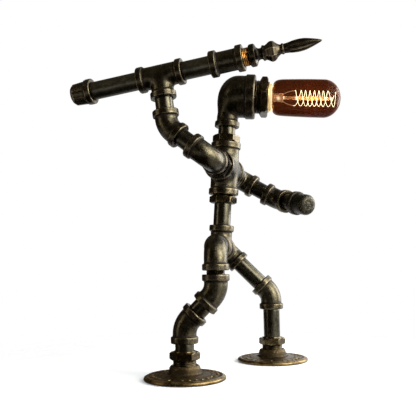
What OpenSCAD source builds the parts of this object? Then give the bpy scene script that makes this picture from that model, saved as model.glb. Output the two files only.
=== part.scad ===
// Standing figure built from threaded pipe fittings, with a lamp holder for a head and a pipe spear.
// Millimetres. +Z is up, the figure faces +X and its near side is -Y. The feet stand on Z = 0, and
// the origin is under the middle of the whole lamp.

/* [Pipe] */
// Outer diameter of the half-inch pipe
pipe_d = 21.3; // [20.5:0.1:22.5]
// Wall of the pipe
pipe_wall = 2.6; // [2:0.1:3.2]
// Length of pipe end that sits inside a fitting
grip = 12; // [10:0.5:13]
// Radial gap between a screwed end and its hole
thread_gap = 0.05; // [0.02:0.01:0.1]
// Pitch of the visible pipe threads
thread_pitch = 1.8; // [1.4:0.1:2.2]
// Depth of the visible pipe threads
thread_depth = 0.7; // [0.4:0.1:0.9]

/* [Half-inch fittings] */
// Centre to face of a right-angle elbow and of a tee
elbow_reach = 27.5; // [26.5:0.5:31]
// Centre to face of a 45 degree elbow
bend_reach = 20; // [19.5:0.5:24]
// Diameter of a fitting's body
body_d = 26.4; // [25.8:0.1:27.4]
// Diameter of the band round a fitting's mouth
band_d = 30.6; // [29.6:0.1:32]
// Width of that band
band_w = 7; // [5:0.5:8]
// Rounding of the band's edges and of its root
band_round = 1.2; // [0.6:0.1:1.5]

/* [Hexagon bushings] */
// Width across the corners of a hexagon
hex_corners = 34.8; // [33:0.1:38]
// Height of a hexagon
hex_h = 8.5; // [6:0.5:11]
// Diameter of the three-quarter-inch thread below the hexagon
bushing_thread_d = 26.4; // [25.6:0.1:27]
// Length of that thread inside its fitting
bushing_grip = 11; // [9:0.5:12]
// Thread that stays in sight below the chest and at the shoulders
chest_thread_show = 1.8; // [0.6:0.1:4]
// Thread that stays in sight above the chest
collar_thread_show = 0.8; // [0.6:0.1:4]
// Thread that stays in sight above each foot
foot_thread_show = 6; // [2:0.5:8]
// Turn of the hexagons in the legs and the torso
hex_turn = 6; // [0:1:30]

/* [Feet] */
// Diameter of a foot flange
foot_d = 92; // [80:1:110]
// Thickness of a flange at its rim
foot_rim_h = 4.6; // [3.5:0.1:6]
// Height of a flange at the root of its hub
foot_root_h = 6.4; // [5:0.1:9]
// Diameter of the hub
hub_d = 34.4; // [33.6:0.1:38]
// Height of the hub above the table
hub_h = 15.5; // [14.5:0.5:22]
// Diameter of the circle of screw holes
hole_circle_d = 68; // [62:1:78]
// Diameter of a screw hole
hole_d = 6; // [4:0.5:7]
// Number of screw holes in a foot
hole_count = 4; // [3:1:6]
// Turn of the near foot's holes
near_foot_turn = -18; // [-45:1:45]

/* [Legs] */
// Pipe in sight between the hip tee and a hip elbow
hip_show = 12.5; // [2:0.5:30]
// Pipe in sight above the near foot
near_ankle_show = 9.2; // [2:0.2:30]
// Pipe in sight between the near leg's two 45 degree elbows
near_shin_show = 11; // [2:0.2:40]
// Pipe in sight above the near knee
near_thigh_show = 4.3; // [2:0.1:20]
// Pipe in sight along the far thigh
far_thigh_show = 37.3; // [20:0.1:50]

/* [Torso] */
// Forward lean of the torso
lean = 4; // [0:0.5:10]
// Pipe in sight above the hip tee
torso_show = 27.7; // [22:0.1:60]
// Centre to face of the cross
cross_reach = 33; // [31:0.5:38]
// Diameter of the cross's body
cross_body_d = 33.6; // [32.8:0.1:35]
// Diameter of the bands round the cross's mouths
cross_band_d = 37; // [36:0.1:39]
// Turn of the chest about the torso
chest_turn = 8; // [0:1:15]
// Pipe in sight at the neck
neck_show = 10.5; // [4:0.5:30]
// Pipe in sight between a shoulder's hexagon and its elbow
shoulder_show = 6.5; // [2:0.5:20]
// Outer diameter of the cord
cord_d = 5.4; // [5:0.1:5.6]
// Height of the cord's outlet above the hip tee's centre
outlet_h = 42; // [38:1:44]

/* [Head] */
// Face of the neck socket below the head's centre
head_drop = 40; // [38:0.5:44]
// Mouth of the head in front of its centre
head_reach = 34; // [33:0.5:38]
// Diameter of the head's body
head_body_d = 52.6; // [50:0.2:55]
// Diameter of the band round the head's mouth
head_band_d = 56; // [55.4:0.2:60]
// Width of that band
head_band_w = 11.5; // [6:0.5:12]
// Rise of the inner corner between the head's two legs
head_crotch = 1.8; // [1.2:0.2:3]
// Diameter of the thread that screws into the head
face_thread_d = 42; // [41:0.2:43]
// Thread in sight between the head and the face hexagon
face_thread_show = 5; // [2:0.2:8]
// Width of the face hexagon across its corners
face_hex_corners = 52.8; // [48:0.2:56]
// Thickness of the face hexagon
face_hex_h = 10.6; // [6:0.2:12]
// Turn of the face hexagon about the head's axis
face_turn = 28; // [0:1:59]

/* [Lamp holder and bulb] */
// Outer diameter of the ceramic holder
holder_d = 34.4; // [33:0.2:36]
// Length of the holder that stands out of the face hexagon
holder_show = 5; // [2:0.2:8]
// Bore of the holder
holder_bore = 29; // [28.6:0.1:30]
// Diameter of the bulb's screw cap
cap_d = 26.4; // [26:0.1:26.6]
// Length of the bulb's screw cap
cap_h = 24; // [22:0.5:26]
// Diameter of the bulb at its widest
bulb_d = 47.3; // [40:0.1:50]
// Length of the glass in sight
bulb_len = 84.1; // [75:0.1:120]
// Thickness of the glass
glass_wall = 0.9; // [0.6:0.1:1.4]
// Radius of the filament's coil
coil_r = 10; // [6:0.5:12]
// Turns of the filament's coil
coil_turns = 8; // [4:1:10]
// Thickness of the filament
filament_d = 0.7; // [0.5:0.1:1]

/* [Near arm] */
// Rise of the near upper arm
near_arm_rise = 34; // [20:1:45]
// Pipe in sight along the near upper arm
near_arm_show = 15.6; // [6:0.2:50]
// Pipe in sight along the near forearm
near_forearm_show = 14.8; // [14:0.1:40]

/* [Spear] */
// Pipe in sight behind the spear's tee
spear_rear_show = 58.5; // [30:0.5:100]
// Pipe in sight in front of the spear's tee
spear_front_show = 33; // [10:0.5:60]
// Length of the end cap
spear_cap_len = 27; // [24:0.5:32]
// Length of the coupling
coupling_len = 39; // [34:0.5:46]
// Diameter of the coupling's body
coupling_body_d = 25; // [24.4:0.1:26]
// Copper pipe in sight before the point
copper_show = 6; // [2:0.5:20]
// Diameter of the point's base ring
point_base_d = 25.8; // [24:0.2:30]
// Length of the point, from its base ring to its tip
point_len = 82.5; // [70:0.5:110]
// Diameter of the vase at its widest
vase_d = 24.6; // [18:0.2:28]
// Diameter of the blade at its widest
blade_d = 14.6; // [10:0.2:18]

/* [Far arm] */
// Drop of the far upper arm
far_arm_drop = 26.5; // [10:0.5:45]
// Pipe in sight along the far upper arm
far_arm_show = 17; // [6:0.2:50]
// Turn of the far forearm about the upper arm
far_hand_turn = 14; // [-30:1:30]
// Pipe in sight at the far wrist
wrist_show = 15.5; // [2:0.5:40]
// Length of the round cap that is the fist
fist_len = 29; // [26:0.5:34]

/* [Hidden] */

$fn = 96;

// Radii
pipe_r = pipe_d / 2;
bore_r = pipe_r - pipe_wall;
body_r = body_d / 2;
band_r = band_d / 2;
socket_r = pipe_r + thread_gap;
bushing_r = bushing_thread_d / 2;
bushing_socket_r = bushing_r + thread_gap;
cross_body_r = cross_body_d / 2;
cross_band_r = cross_band_d / 2;
cross_bore_r = bushing_r - 1.2;
head_r = head_body_d / 2;
face_r = face_thread_d / 2;

// Depth of a socket: the screwed end and a little relief behind it
socket_depth = grip + 1;
bushing_socket_depth = bushing_grip + 1;
cross_band_w = band_w + 0.5;
arc_steps = 4;

// A mouth's body runs a little way over the bend behind it, and stands this far proud of it
seam = 0.5;
seam_step = 0.12;

// A right-angle bend's inner corner keeps this radius; a 45 degree bend runs from one screwed end a
// little past the other
elbow_crotch_r = 2.3;
knee_angle = 45;
bend_lap = 1.94;
elbow_bend_r = body_r + elbow_crotch_r;
bend_bend_r = (bend_reach - grip + bend_lap) / tan(knee_angle / 2);

// Legs, from the table up
foot_top = hub_h + foot_thread_show + hex_h;
near_ankle_h = foot_top + near_ankle_show + bend_reach;
near_shin_len = 2 * bend_reach + near_shin_show;
near_knee_h = near_ankle_h + near_shin_len * cos(knee_angle);
near_ankle_back = near_shin_len * sin(knee_angle);
hip_h = near_knee_h + bend_reach + near_thigh_show + elbow_reach;
hip_out = 2 * elbow_reach + hip_show;
far_thigh_len = elbow_reach + far_thigh_show + bend_reach;
far_knee_h = hip_h - far_thigh_len * cos(knee_angle);
far_knee_front = far_thigh_len * sin(knee_angle);
far_shin_show = far_knee_h - bend_reach - foot_top;

// Torso, from the hip tee's centre up
waist_hex_z = elbow_reach + torso_show;
cross_z = waist_hex_z + hex_h + chest_thread_show + cross_reach;
collar_hex_z = cross_z + cross_reach + collar_thread_show;
neck_z = collar_hex_z + hex_h;
head_z = neck_z + neck_show + head_drop;
shoulder_hex_out = cross_reach + chest_thread_show;
shoulder_out = shoulder_hex_out + hex_h + shoulder_show + elbow_reach;

// Head, from its centre forward
face_socket_depth = 15;
face_hex_x = head_reach + face_thread_show;
face_front_x = face_hex_x + face_hex_h;
holder_front_x = face_front_x + holder_show;
holder_back_x = head_reach - face_socket_depth + 2;
holder_r = holder_d / 2;
holder_bore_r = holder_bore / 2;
holder_floor = 7;
cap_r = cap_d / 2;
cap_front_x = holder_front_x + 0.4;
cap_back_x = cap_front_x - cap_h;
cap_tip = 2.2;
holder_floor_x = cap_back_x - cap_tip - 2.4;
bulb_r = bulb_d / 2;
bulb_base_x = cap_front_x + 0.3;
bulb_dome = bulb_r * 0.888;
bulb_tip_x = bulb_base_x + bulb_len;
bulb_dome_x = bulb_tip_x - bulb_dome;

// Arms
near_arm_len = elbow_reach + near_arm_show + bend_reach;
near_forearm_len = bend_reach + near_forearm_show + elbow_reach;
near_arm_angle = 180 - near_arm_rise;
near_forearm_angle = near_arm_angle - knee_angle;
spear_angle = near_forearm_angle - 90;
far_arm_len = elbow_reach + far_arm_show + bend_reach;

// Spear, from its tee's centre
cap_rim_x = elbow_reach + spear_rear_show;
spear_butt_x = cap_rim_x + spear_cap_len;
coupling_x = elbow_reach + spear_front_show;
point_x = coupling_x + coupling_len + copper_show;

// Wires
wire_r = 1;
wire_apart = 4;
splice_r = 1.9;
splice_len = 14;
wire_turn_r = 5;
splice_z = cross_z - splice_len;

// The middle of the lamp's length, from the spear's butt to the bulb's tip
butt_flat_r = body_r - 4;
butt_round = 4;
near_elbow_x = -near_arm_len * cos(near_arm_rise);
near_elbow_z = near_arm_len * sin(near_arm_rise);
spear_tee_x = near_elbow_x + near_forearm_len * cos(near_forearm_angle);
spear_tee_z = near_elbow_z + near_forearm_len * sin(near_forearm_angle);
butt_local = [
    spear_tee_x - (spear_butt_x - butt_round) * cos(spear_angle),
    -shoulder_out,
    spear_tee_z - (spear_butt_x - butt_round) * sin(spear_angle)
];
butt_chest_x = butt_local[0] * cos(chest_turn) + butt_local[1] * sin(chest_turn);
butt_x = butt_chest_x * cos(lean) + (cross_z + butt_local[2]) * sin(lean);
butt_along_x = cos(spear_angle) * cos(chest_turn) * cos(lean) + sin(spear_angle) * sin(lean);
back_x = butt_x - butt_flat_r * sqrt(1 - pow(butt_along_x, 2)) - butt_round;
front_x = head_z * sin(lean) + bulb_dome_x * cos(lean)
    + sqrt(pow(bulb_dome * cos(lean), 2) + pow(bulb_r * sin(lean), 2));
middle_x = (back_x + front_x) / 2;

// Colours
iron = [0.22, 0.21, 0.17];
worn_iron = [0.33, 0.29, 0.22];
bronze = [0.45, 0.37, 0.24];

// ---------- outlines and basic shapes ----------

// Points of a quarter circle about c, from angle a to angle b
function arc(c, r, a, b) = [
    for (i = [0 : arc_steps]) let (t = a + (b - a) * i / arc_steps) c + r * [cos(t), sin(t)]
];

// Outline of a fitting's mouth: its face at y = 0, a round-edged band and a body that runs on to y = length
function mouth_outline(body, band, width, length) = concat(
    [[0, 0]],
    arc([band - band_round, band_round], band_round, -90, 0),
    arc([band - band_round, width - band_round], band_round, 0, 90),
    arc([body + band_round * 0.6, width + band_round * 0.6], band_round * 0.6, 270, 180),
    [[body, length], [0, length]]
);

// Solid of a fitting's mouth, face at z = 0, running up to z = length
module mouth(body, band, width, length) {
    rotate_extrude() polygon(mouth_outline(body, band, width, length));
}

// Everything from a mouth's face inwards that is cut away: the socket
module socket(r, depth) {
    translate([0, 0, -1]) cylinder(r = r, h = depth + 1);
}

// Turns +Z into the direction that an angle gives in the XZ plane, measured from +X
module towards(angle) {
    rotate([0, 90 - angle, 0]) children();
}

// Stretch of a ring that a pipe of radius r takes along a bend
module bent_rod(angle, bend_r, r) {
    translate([-bend_r * tan(angle / 2), 0, bend_r])
        rotate([90, 0, 0])
            rotate([0, 0, -90])
                rotate_extrude(angle = angle)
                    translate([bend_r, 0]) circle(r = r);
}

// Elbow about its centre: one mouth faces -X, the other lies at the angle from +X towards +Z
module elbow(angle, reach, bend_r) {
    straight = reach - bend_r * tan(angle / 2) + seam;
    difference() {
        union() {
            bent_rod(angle, bend_r, body_r);
            translate([-reach, 0, 0]) rotate([0, 90, 0])
                mouth(body_r + seam_step, band_r, band_w, straight);
            towards(angle) translate([0, 0, reach]) rotate([180, 0, 0])
                mouth(body_r + seam_step, band_r, band_w, straight);
        }
        bent_rod(angle, bend_r, bore_r);
        translate([-reach, 0, 0]) rotate([0, 90, 0]) socket(socket_r, socket_depth);
        towards(angle) translate([0, 0, reach]) rotate([180, 0, 0]) socket(socket_r, socket_depth);
    }
}

// Tee about its centre: the run lies along X and the branch points to +Z
module tee() {
    difference() {
        union() {
            for (side = [0, 180]) rotate([0, side, 0]) tee_leg(90);
            tee_leg(0);
        }
        translate([-elbow_reach, 0, 0]) rotate([0, 90, 0]) cylinder(r = bore_r, h = 2 * elbow_reach);
        cylinder(r = bore_r, h = elbow_reach);
        for (tilt = [-90, 0, 90]) rotate([0, tilt, 0])
            translate([0, 0, elbow_reach]) rotate([180, 0, 0]) socket(socket_r, socket_depth);
    }
}

// One leg of a tee, from the centre out to its face
module tee_leg(tilt) {
    rotate([0, tilt, 0]) translate([0, 0, elbow_reach]) rotate([180, 0, 0])
        mouth(body_r, band_r, band_w, elbow_reach);
}

// Cross about its centre: mouths up, down and to both sides along Y
module cross() {
    difference() {
        for (tilt = [0, 90, 180, 270]) rotate([tilt, 0, 0])
            translate([0, 0, cross_reach]) rotate([180, 0, 0])
                mouth(cross_body_r, cross_band_r, cross_band_w, cross_reach);
        for (tilt = [0, 90]) rotate([tilt, 0, 0])
            translate([0, 0, -cross_reach]) cylinder(r = cross_bore_r, h = 2 * cross_reach);
        for (tilt = [0, 90, 180, 270]) rotate([tilt, 0, 0])
            translate([0, 0, cross_reach]) rotate([180, 0, 0])
                socket(bushing_socket_r, bushing_socket_depth);
    }
}

// Plain length of pipe from the face of one fitting to the next: the ends reach into both
module pipe(show) {
    translate([0, 0, -grip]) difference() {
        cylinder(r = pipe_r, h = show + 2 * grip);
        translate([0, 0, -1]) cylinder(r = bore_r, h = show + 2 * grip + 2);
    }
}

// Outline of ring-shaped thread ridges on a rod of radius r
function thread_outline(r, length) = let (
    turns = max(1, round(length / thread_pitch)),
    step = length / turns
) concat(
    [[0, 0]],
    [for (i = [0 : turns - 1]) for (k = [0, 1]) [r - thread_depth * (1 - k), (i + k * 0.5) * step]],
    [[r - thread_depth, length], [0, length]]
);

// Hexagon with turned-off corners, standing on z = 0; back widens the cut at the bottom
module hexagon(corners, height, back) {
    chamfer = corners * 0.035;
    intersection() {
        cylinder(d = corners, h = height, $fn = 6);
        rotate_extrude() polygon([
            [0, 0], [corners / 2 - 1.6 * chamfer * back, 0], [corners / 2, chamfer * back],
            [corners / 2, height - chamfer], [corners / 2 - 1.6 * chamfer, height], [0, height]
        ]);
    }
}

// Hexagon bushing: its hexagon stands on z = 0, its thread goes down and a pipe screws in from above
module bushing(show, turn) {
    length = bushing_grip + show;
    rotate([0, 0, turn]) difference() {
        union() {
            hexagon(hex_corners, hex_h, 1);
            translate([0, 0, -length]) cylinder(r = bushing_r - thread_depth, h = length);
            translate([0, 0, -show]) rotate_extrude() polygon(thread_outline(bushing_r, show));
            translate([0, 0, -length]) cylinder(r = bushing_r, h = bushing_grip);
        }
        translate([0, 0, -length - 1]) cylinder(r = bore_r, h = length + hex_h + 2);
        translate([0, 0, hex_h]) rotate([180, 0, 0]) socket(socket_r, socket_depth);
    }
}

// Wire along the +Z axis
module wire(length) {
    cylinder(r = wire_r, h = length);
}

// The same thing on both sides of the XZ plane
module both_wires() {
    for (side = [-1, 1]) translate([0, side * wire_apart, 0]) children();
}

// ---------- places ----------

module lamp() {
    translate([-middle_x, 0, 0]) children();
}

module near_foot() {
    lamp() translate([-near_ankle_back, -hip_out, 0]) children();
}

module far_foot() {
    lamp() translate([far_knee_front, hip_out, 0]) children();
}

module near_ankle() {
    lamp() translate([-near_ankle_back, -hip_out, near_ankle_h]) children();
}

module near_knee() {
    lamp() translate([0, -hip_out, near_knee_h]) children();
}

module hip() {
    lamp() translate([0, 0, hip_h]) children();
}

module far_knee() {
    lamp() translate([far_knee_front, hip_out, far_knee_h]) children();
}

// Torso frame: origin at the hip tee's centre, +Z up the leaning torso
module torso() {
    hip() rotate([0, lean, 0]) children();
}

module chest() {
    torso() translate([0, 0, cross_z]) rotate([0, 0, -chest_turn]) children();
}

module head() {
    torso() translate([0, 0, head_z]) children();
}

// Along the head's axis: +Z of what is inside points out of the face
module face() {
    head() rotate([0, 90, 0]) children();
}

module near_shoulder() {
    chest() translate([0, -shoulder_out, 0]) children();
}

module near_elbow_place() {
    near_shoulder() translate([near_elbow_x, 0, near_elbow_z]) children();
}

// Spear frame: origin at the tee's centre, +X to the point
module spear() {
    near_shoulder() translate([spear_tee_x, 0, spear_tee_z]) rotate([0, -spear_angle, 0]) children();
}

module far_shoulder() {
    chest() translate([0, shoulder_out, 0]) children();
}

// Far forearm frame: origin at the elbow's centre, the upper arm comes in along +X
module far_elbow_place() {
    far_shoulder() rotate([0, far_arm_drop, 0]) translate([far_arm_len, 0, 0])
        rotate([90 - far_hand_turn, 0, 0]) children();
}

module far_hand() {
    far_elbow_place() towards(knee_angle) children();
}

// ---------- feet and legs ----------

// Floor flange with its hub, screw holes and threaded bore
module foot_flange(turn) {
    rim = 1.6;
    fillet = 2.4;
    hub_r = hub_d / 2;
    root_r = hub_r + fillet;
    difference() {
        rotate_extrude() polygon(concat(
            [[0, 0]],
            arc([foot_d / 2 - 0.8, 0.8], 0.8, -90, 0),
            arc([foot_d / 2 - rim, foot_rim_h - rim], rim, 0, 80),
            [[root_r, foot_root_h]],
            arc([root_r, foot_root_h + fillet], fillet, 270, 180),
            arc([hub_r - 1.4, hub_h - 1.4], 1.4, 0, 90),
            [[0, hub_h]]
        ));
        translate([0, 0, -1]) cylinder(r = bushing_socket_r, h = hub_h + 2);
        for (i = [0 : hole_count - 1]) rotate([0, 0, turn + i * 360 / hole_count])
            translate([hole_circle_d / 2, 0, -1]) cylinder(d = hole_d, h = foot_root_h + 2);
    }
}

module near_foot_flange() {
    color(bronze) near_foot() foot_flange(near_foot_turn);
}

module far_foot_flange() {
    color(bronze) far_foot() foot_flange(0);
}

module near_ankle_bushing() {
    color(worn_iron) near_foot() translate([0, 0, hub_h + foot_thread_show])
        bushing(foot_thread_show, hex_turn);
}

module far_ankle_bushing() {
    color(worn_iron) far_foot() translate([0, 0, hub_h + foot_thread_show])
        bushing(foot_thread_show, 0);
}

module near_ankle_pipe() {
    color(iron) near_foot() translate([0, 0, foot_top]) pipe(near_ankle_show);
}

module near_ankle_elbow() {
    color(iron) near_ankle() rotate([180, -90, 0]) elbow(knee_angle, bend_reach, bend_bend_r);
}

module near_shin_pipe() {
    color(iron) near_ankle() towards(knee_angle) translate([0, 0, bend_reach]) pipe(near_shin_show);
}

module near_knee_elbow() {
    color(iron) near_knee() rotate([180, 90, 0]) elbow(knee_angle, bend_reach, bend_bend_r);
}

module near_thigh_pipe() {
    color(iron) near_knee() translate([0, 0, bend_reach]) pipe(near_thigh_show);
}

module near_hip_elbow() {
    color(iron) hip() translate([0, -hip_out, 0]) rotate([180, 0, -90])
        elbow(90, elbow_reach, elbow_bend_r);
}

module near_hip_pipe() {
    color(iron) hip() rotate([90, 0, 0]) translate([0, 0, elbow_reach]) pipe(hip_show);
}

module far_hip_pipe() {
    color(iron) hip() rotate([-90, 0, 0]) translate([0, 0, elbow_reach]) pipe(hip_show);
}

module far_hip_elbow() {
    color(iron) hip() translate([0, hip_out, 0]) rotate([180 - knee_angle, 0, 90])
        elbow(90, elbow_reach, elbow_bend_r);
}

module far_thigh_pipe() {
    color(iron) far_knee() towards(180 - knee_angle) translate([0, 0, bend_reach])
        pipe(far_thigh_show);
}

module far_knee_elbow() {
    color(iron) far_knee() rotate([0, -90, 0]) elbow(knee_angle, bend_reach, bend_bend_r);
}

module far_shin_pipe() {
    color(iron) far_foot() translate([0, 0, foot_top]) pipe(far_shin_show);
}

// The hip tee leans with the torso, and its run lies across the hips
module hip_tee() {
    color(iron) torso() rotate([0, 0, 90]) tee();
}

// ---------- torso ----------

// Hole in the back of the torso pipe, where the cord's grommet sits
grommet_r = cord_d / 2 + 1.6;
grommet_lip_r = grommet_r + 1.6;
grommet_lip_h = 1.5;

module torso_pipe() {
    color(iron) torso() difference() {
        translate([0, 0, elbow_reach]) pipe(torso_show);
        translate([0, 0, outlet_h]) rotate([-90, 0, 0]) cylinder(r = grommet_r, h = pipe_d);
    }
}

// Rubber ring in the pipe's wall: a curved lip outside, a neck through the wall and the cord's hole
module cord_grommet() {
    color("black") torso() difference() {
        union() {
            intersection() {
                difference() {
                    cylinder(r = pipe_r + grommet_lip_h, h = 2 * outlet_h);
                    translate([0, 0, -1]) cylinder(r = pipe_r, h = 2 * outlet_h + 2);
                }
                translate([0, 0, outlet_h]) rotate([-90, 0, 0]) cylinder(r = grommet_lip_r, h = pipe_d);
            }
            intersection() {
                difference() {
                    cylinder(r = pipe_r + grommet_lip_h / 2, h = 2 * outlet_h);
                    translate([0, 0, -1]) cylinder(r = bore_r, h = 2 * outlet_h + 2);
                }
                translate([0, 0, outlet_h]) rotate([-90, 0, 0])
                    cylinder(r = grommet_r - thread_gap, h = pipe_d);
            }
        }
        translate([0, 0, outlet_h]) rotate([-90, 0, 0]) cylinder(r = cord_d / 2 + 0.3, h = pipe_d);
    }
}

module waist_bushing() {
    color(worn_iron) torso() translate([0, 0, waist_hex_z + hex_h]) rotate([180, 0, 0])
        bushing(chest_thread_show, -hex_turn);
}

module chest_cross() {
    color(iron) chest() cross();
}

module collar_bushing() {
    color(worn_iron) torso() translate([0, 0, collar_hex_z]) bushing(collar_thread_show, hex_turn);
}

module neck_pipe() {
    color(iron) torso() translate([0, 0, neck_z]) pipe(neck_show);
}

// What sits in one side of the cross: side is -1 near and 1 far
module shoulder_side(side) {
    chest() rotate([-90 * side, 0, 0]) children();
}

module near_shoulder_bushing() {
    color(worn_iron) shoulder_side(-1) translate([0, 0, shoulder_hex_out])
        bushing(chest_thread_show, 0);
}

module far_shoulder_bushing() {
    color(worn_iron) shoulder_side(1) translate([0, 0, shoulder_hex_out])
        bushing(chest_thread_show, 0);
}

module near_shoulder_pipe() {
    color(iron) shoulder_side(-1) translate([0, 0, shoulder_hex_out + hex_h]) pipe(shoulder_show);
}

module far_shoulder_pipe() {
    color(iron) shoulder_side(1) translate([0, 0, shoulder_hex_out + hex_h]) pipe(shoulder_show);
}

// Two supply wires from the outlet up to the splices. They stop short of the splices by a small gap,
// because the splices turn with the head.
splice_gap = 0.4;

module supply_wires() {
    bottom_z = outlet_h + wire_turn_r;
    color("black") torso() for (side = [-1, 1]) translate([side * wire_apart, 0, 0]) {
        translate([0, 0, bottom_z]) wire(splice_z - splice_gap - bottom_z);
        translate([0, wire_turn_r, bottom_z]) rotate([0, 90, 0]) rotate([0, 0, -90])
            rotate_extrude(angle = 90) translate([wire_turn_r, 0]) circle(r = wire_r);
    }
}

// ---------- head ----------

// Radius of the head's loft at a turn from 0 at the neck to 90 at the face
function head_loft_r(turn) = let (
    u = min(1, max(0, (turn - 10) / 75))
) body_r + (head_r - body_r) * (3 - 2 * u) * u * u;

// Centre of the loft's section at that turn; it swings about the inner corner between the two legs
function head_loft_centre(turn) = [body_r + head_crotch, 0, -(head_r + head_crotch)]
    + (head_loft_r(turn) + head_crotch) * [-cos(turn), 0, sin(turn)];

// Reducing elbow: neck socket below, wide mouth in front and balls of growing size between them
module head_elbow() {
    neck_len = head_drop - head_r - head_crotch;
    mouth_len = head_reach - body_r - head_crotch;
    wide_r = face_r - 1.5;
    color(iron) head() difference() {
        union() {
            for (turn = [30, 50, 70]) translate(head_loft_centre(turn)) sphere(r = head_loft_r(turn));
            translate([0, 0, -head_drop]) mouth(body_r, band_r, neck_len - 2, neck_len + body_r);
            translate([head_reach, 0, 0]) rotate([0, -90, 0]) rotate_extrude() polygon(concat(
                [for (p = mouth_outline(head_r, head_band_d / 2, head_band_w, mouth_len)) if (p[1] < mouth_len) p],
                [for (i = [0 : 16]) let (a = 90 * i / 16) [head_r * cos(a), mouth_len + head_r * sin(a)]]
            ));
        }
        translate([0, 0, -head_drop]) cylinder(r = bore_r, h = head_drop);
        translate([0, 0, -head_drop]) socket(socket_r, socket_depth);
        translate([-bore_r / 2, 0, 0]) rotate([0, 90, 0]) cylinder(r = bore_r * 1.4, h = head_reach);
        translate([body_r, 0, 0]) rotate([0, 90, 0]) cylinder(r = wide_r, h = head_reach);
        translate([head_reach, 0, 0]) rotate([0, -90, 0])
            socket(face_r + thread_gap, face_socket_depth);
    }
}

// Large hexagon bushing that closes the face and carries the lamp holder
module face_bushing() {
    tail = face_socket_depth - 1;
    bore = holder_r + thread_gap;
    color(worn_iron) face() rotate([0, 0, face_turn]) difference() {
        union() {
            translate([0, 0, face_hex_x]) hexagon(face_hex_corners, face_hex_h, 2);
            translate([0, 0, head_reach - tail]) cylinder(r = face_r, h = tail);
            translate([0, 0, head_reach])
                rotate_extrude() polygon(thread_outline(face_r, face_thread_show));
        }
        translate([0, 0, head_reach - tail - 1]) cylinder(r = bore, h = face_front_x);
    }
}

// Ceramic body of the lamp holder: a deep cup with two wire holes in its floor
module holder_body() {
    lip = 1.2;
    color("ivory") face() difference() {
        translate([0, 0, holder_back_x]) rotate_extrude() polygon(concat(
            [[0, 0], [holder_r, 0]],
            arc([holder_r - lip, holder_front_x - holder_back_x - lip], lip, 0, 90),
            [[0, holder_front_x - holder_back_x]]
        ));
        translate([0, 0, holder_floor_x]) cylinder(r = holder_bore_r, h = holder_front_x);
        for (side = [-1, 1]) translate([0, side * terminal_out, holder_back_x - 1])
            cylinder(r = screw_r + 0.1, h = screw_len + 1);
    }
}

// Rolled brass shell that the bulb's cap screws into
shell_wall = 0.5;
shell_r = holder_bore_r - thread_gap;

module holder_shell() {
    color("goldenrod") face() translate([0, 0, holder_floor_x]) difference() {
        cylinder(r = shell_r, h = holder_front_x - holder_floor_x - 2);
        translate([0, 0, -1]) cylinder(r = shell_r - shell_wall, h = holder_front_x);
    }
}

// Centre contact: a strip on the holder's floor, bent up to the bulb's tip
contact_w = 5;
contact_t = 0.6;
contact_gap = 0.3;

module holder_contact() {
    rise = cap_back_x - cap_tip - contact_gap - holder_floor_x;
    color("goldenrod") face() translate([0, 0, holder_floor_x]) {
        translate([-contact_w / 2, -contact_w, 0]) cube([contact_w, 2 * contact_w, contact_t]);
        translate([-contact_w / 2, -contact_w, 0]) cube([contact_w, contact_t, rise]);
        translate([-contact_w / 2, -contact_w, rise - contact_t]) cube([contact_w, 1.5 * contact_w, contact_t]);
    }
}

// Two screws in the holder's back hold the wires
screw_r = 1.6;
screw_len = 4;
screw_head_r = 2.6;
screw_head_h = 1.8;
terminal_out = wire_apart;

module terminal_screws() {
    color("silver") face() for (side = [-1, 1]) translate([0, side * terminal_out, holder_back_x]) {
        cylinder(r = screw_r, h = screw_len);
        difference() {
            translate([0, 0, -screw_head_h]) cylinder(r = screw_head_r, h = screw_head_h);
            translate([-screw_head_r, -0.4, -screw_head_h - 1])
                cube([2 * screw_head_r, 0.8, 1.8]);
        }
    }
}

// Two wires from the splices up the neck and forward to the terminal screws
module head_wires() {
    tail_x = holder_back_x - screw_head_h;
    start_z = splice_z + splice_len - 4;
    color("black") for (side = [-1, 1]) torso() translate([0, side * wire_apart, 0]) {
        translate([0, 0, start_z]) wire(head_z - wire_turn_r - start_z);
        translate([wire_turn_r, 0, head_z - wire_turn_r]) rotate([90, 0, 0]) rotate([0, 0, 90])
            rotate_extrude(angle = 90) translate([wire_turn_r, 0]) circle(r = wire_r);
        translate([wire_turn_r, 0, head_z]) rotate([0, 90, 0]) wire(tail_x - wire_turn_r);
    }
}

// Crimped sleeves that join the head's wires to the supply wires
module wire_splices() {
    color("gray") torso() both_wires() translate([0, 0, splice_z]) difference() {
        cylinder(r = splice_r, h = splice_len);
        translate([0, 0, splice_len - 5]) cylinder(r = wire_r + thread_gap, h = 6);
    }
}

// ---------- bulb ----------

// Outline of the glass, out from the neck in the cap and round the dome; wall moves it inwards
neck_r = cap_r - 1.9;
neck_in = 11;
// Shares of the bulb's radius, across and along: a quick shoulder and then a slight barrel
flare = [
    [0.64, 0.009], [0.78, 0.05], [0.865, 0.135], [0.92, 0.245], [0.947, 0.37], [0.962, 0.53],
    [0.98, 1.1], [0.994, 1.6], [1, 2]
];

function glass_outline(wall) = concat(
    [[neck_r - wall * 0.8, -neck_in], [neck_r - wall * 0.8, wall]],
    [for (p = flare) [p[0] * bulb_r - wall * 0.8, p[1] * bulb_r + wall]],
    [for (i = [0 : 12]) let (a = 90 * i / 12)
        [(bulb_r - wall * 0.8) * cos(a), bulb_len - bulb_dome + (bulb_dome - wall) * sin(a)]]
);

module bulb_glass() {
    color([0.6, 0.25, 0.08, 0.5]) face() translate([0, 0, bulb_base_x]) difference() {
        rotate_extrude() polygon(concat([[0, -neck_in]], glass_outline(0)));
        rotate_extrude() polygon(concat([[0, -neck_in - 1], [neck_r - glass_wall * 0.8, -neck_in - 1]],
            glass_outline(glass_wall)));
    }
}

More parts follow.
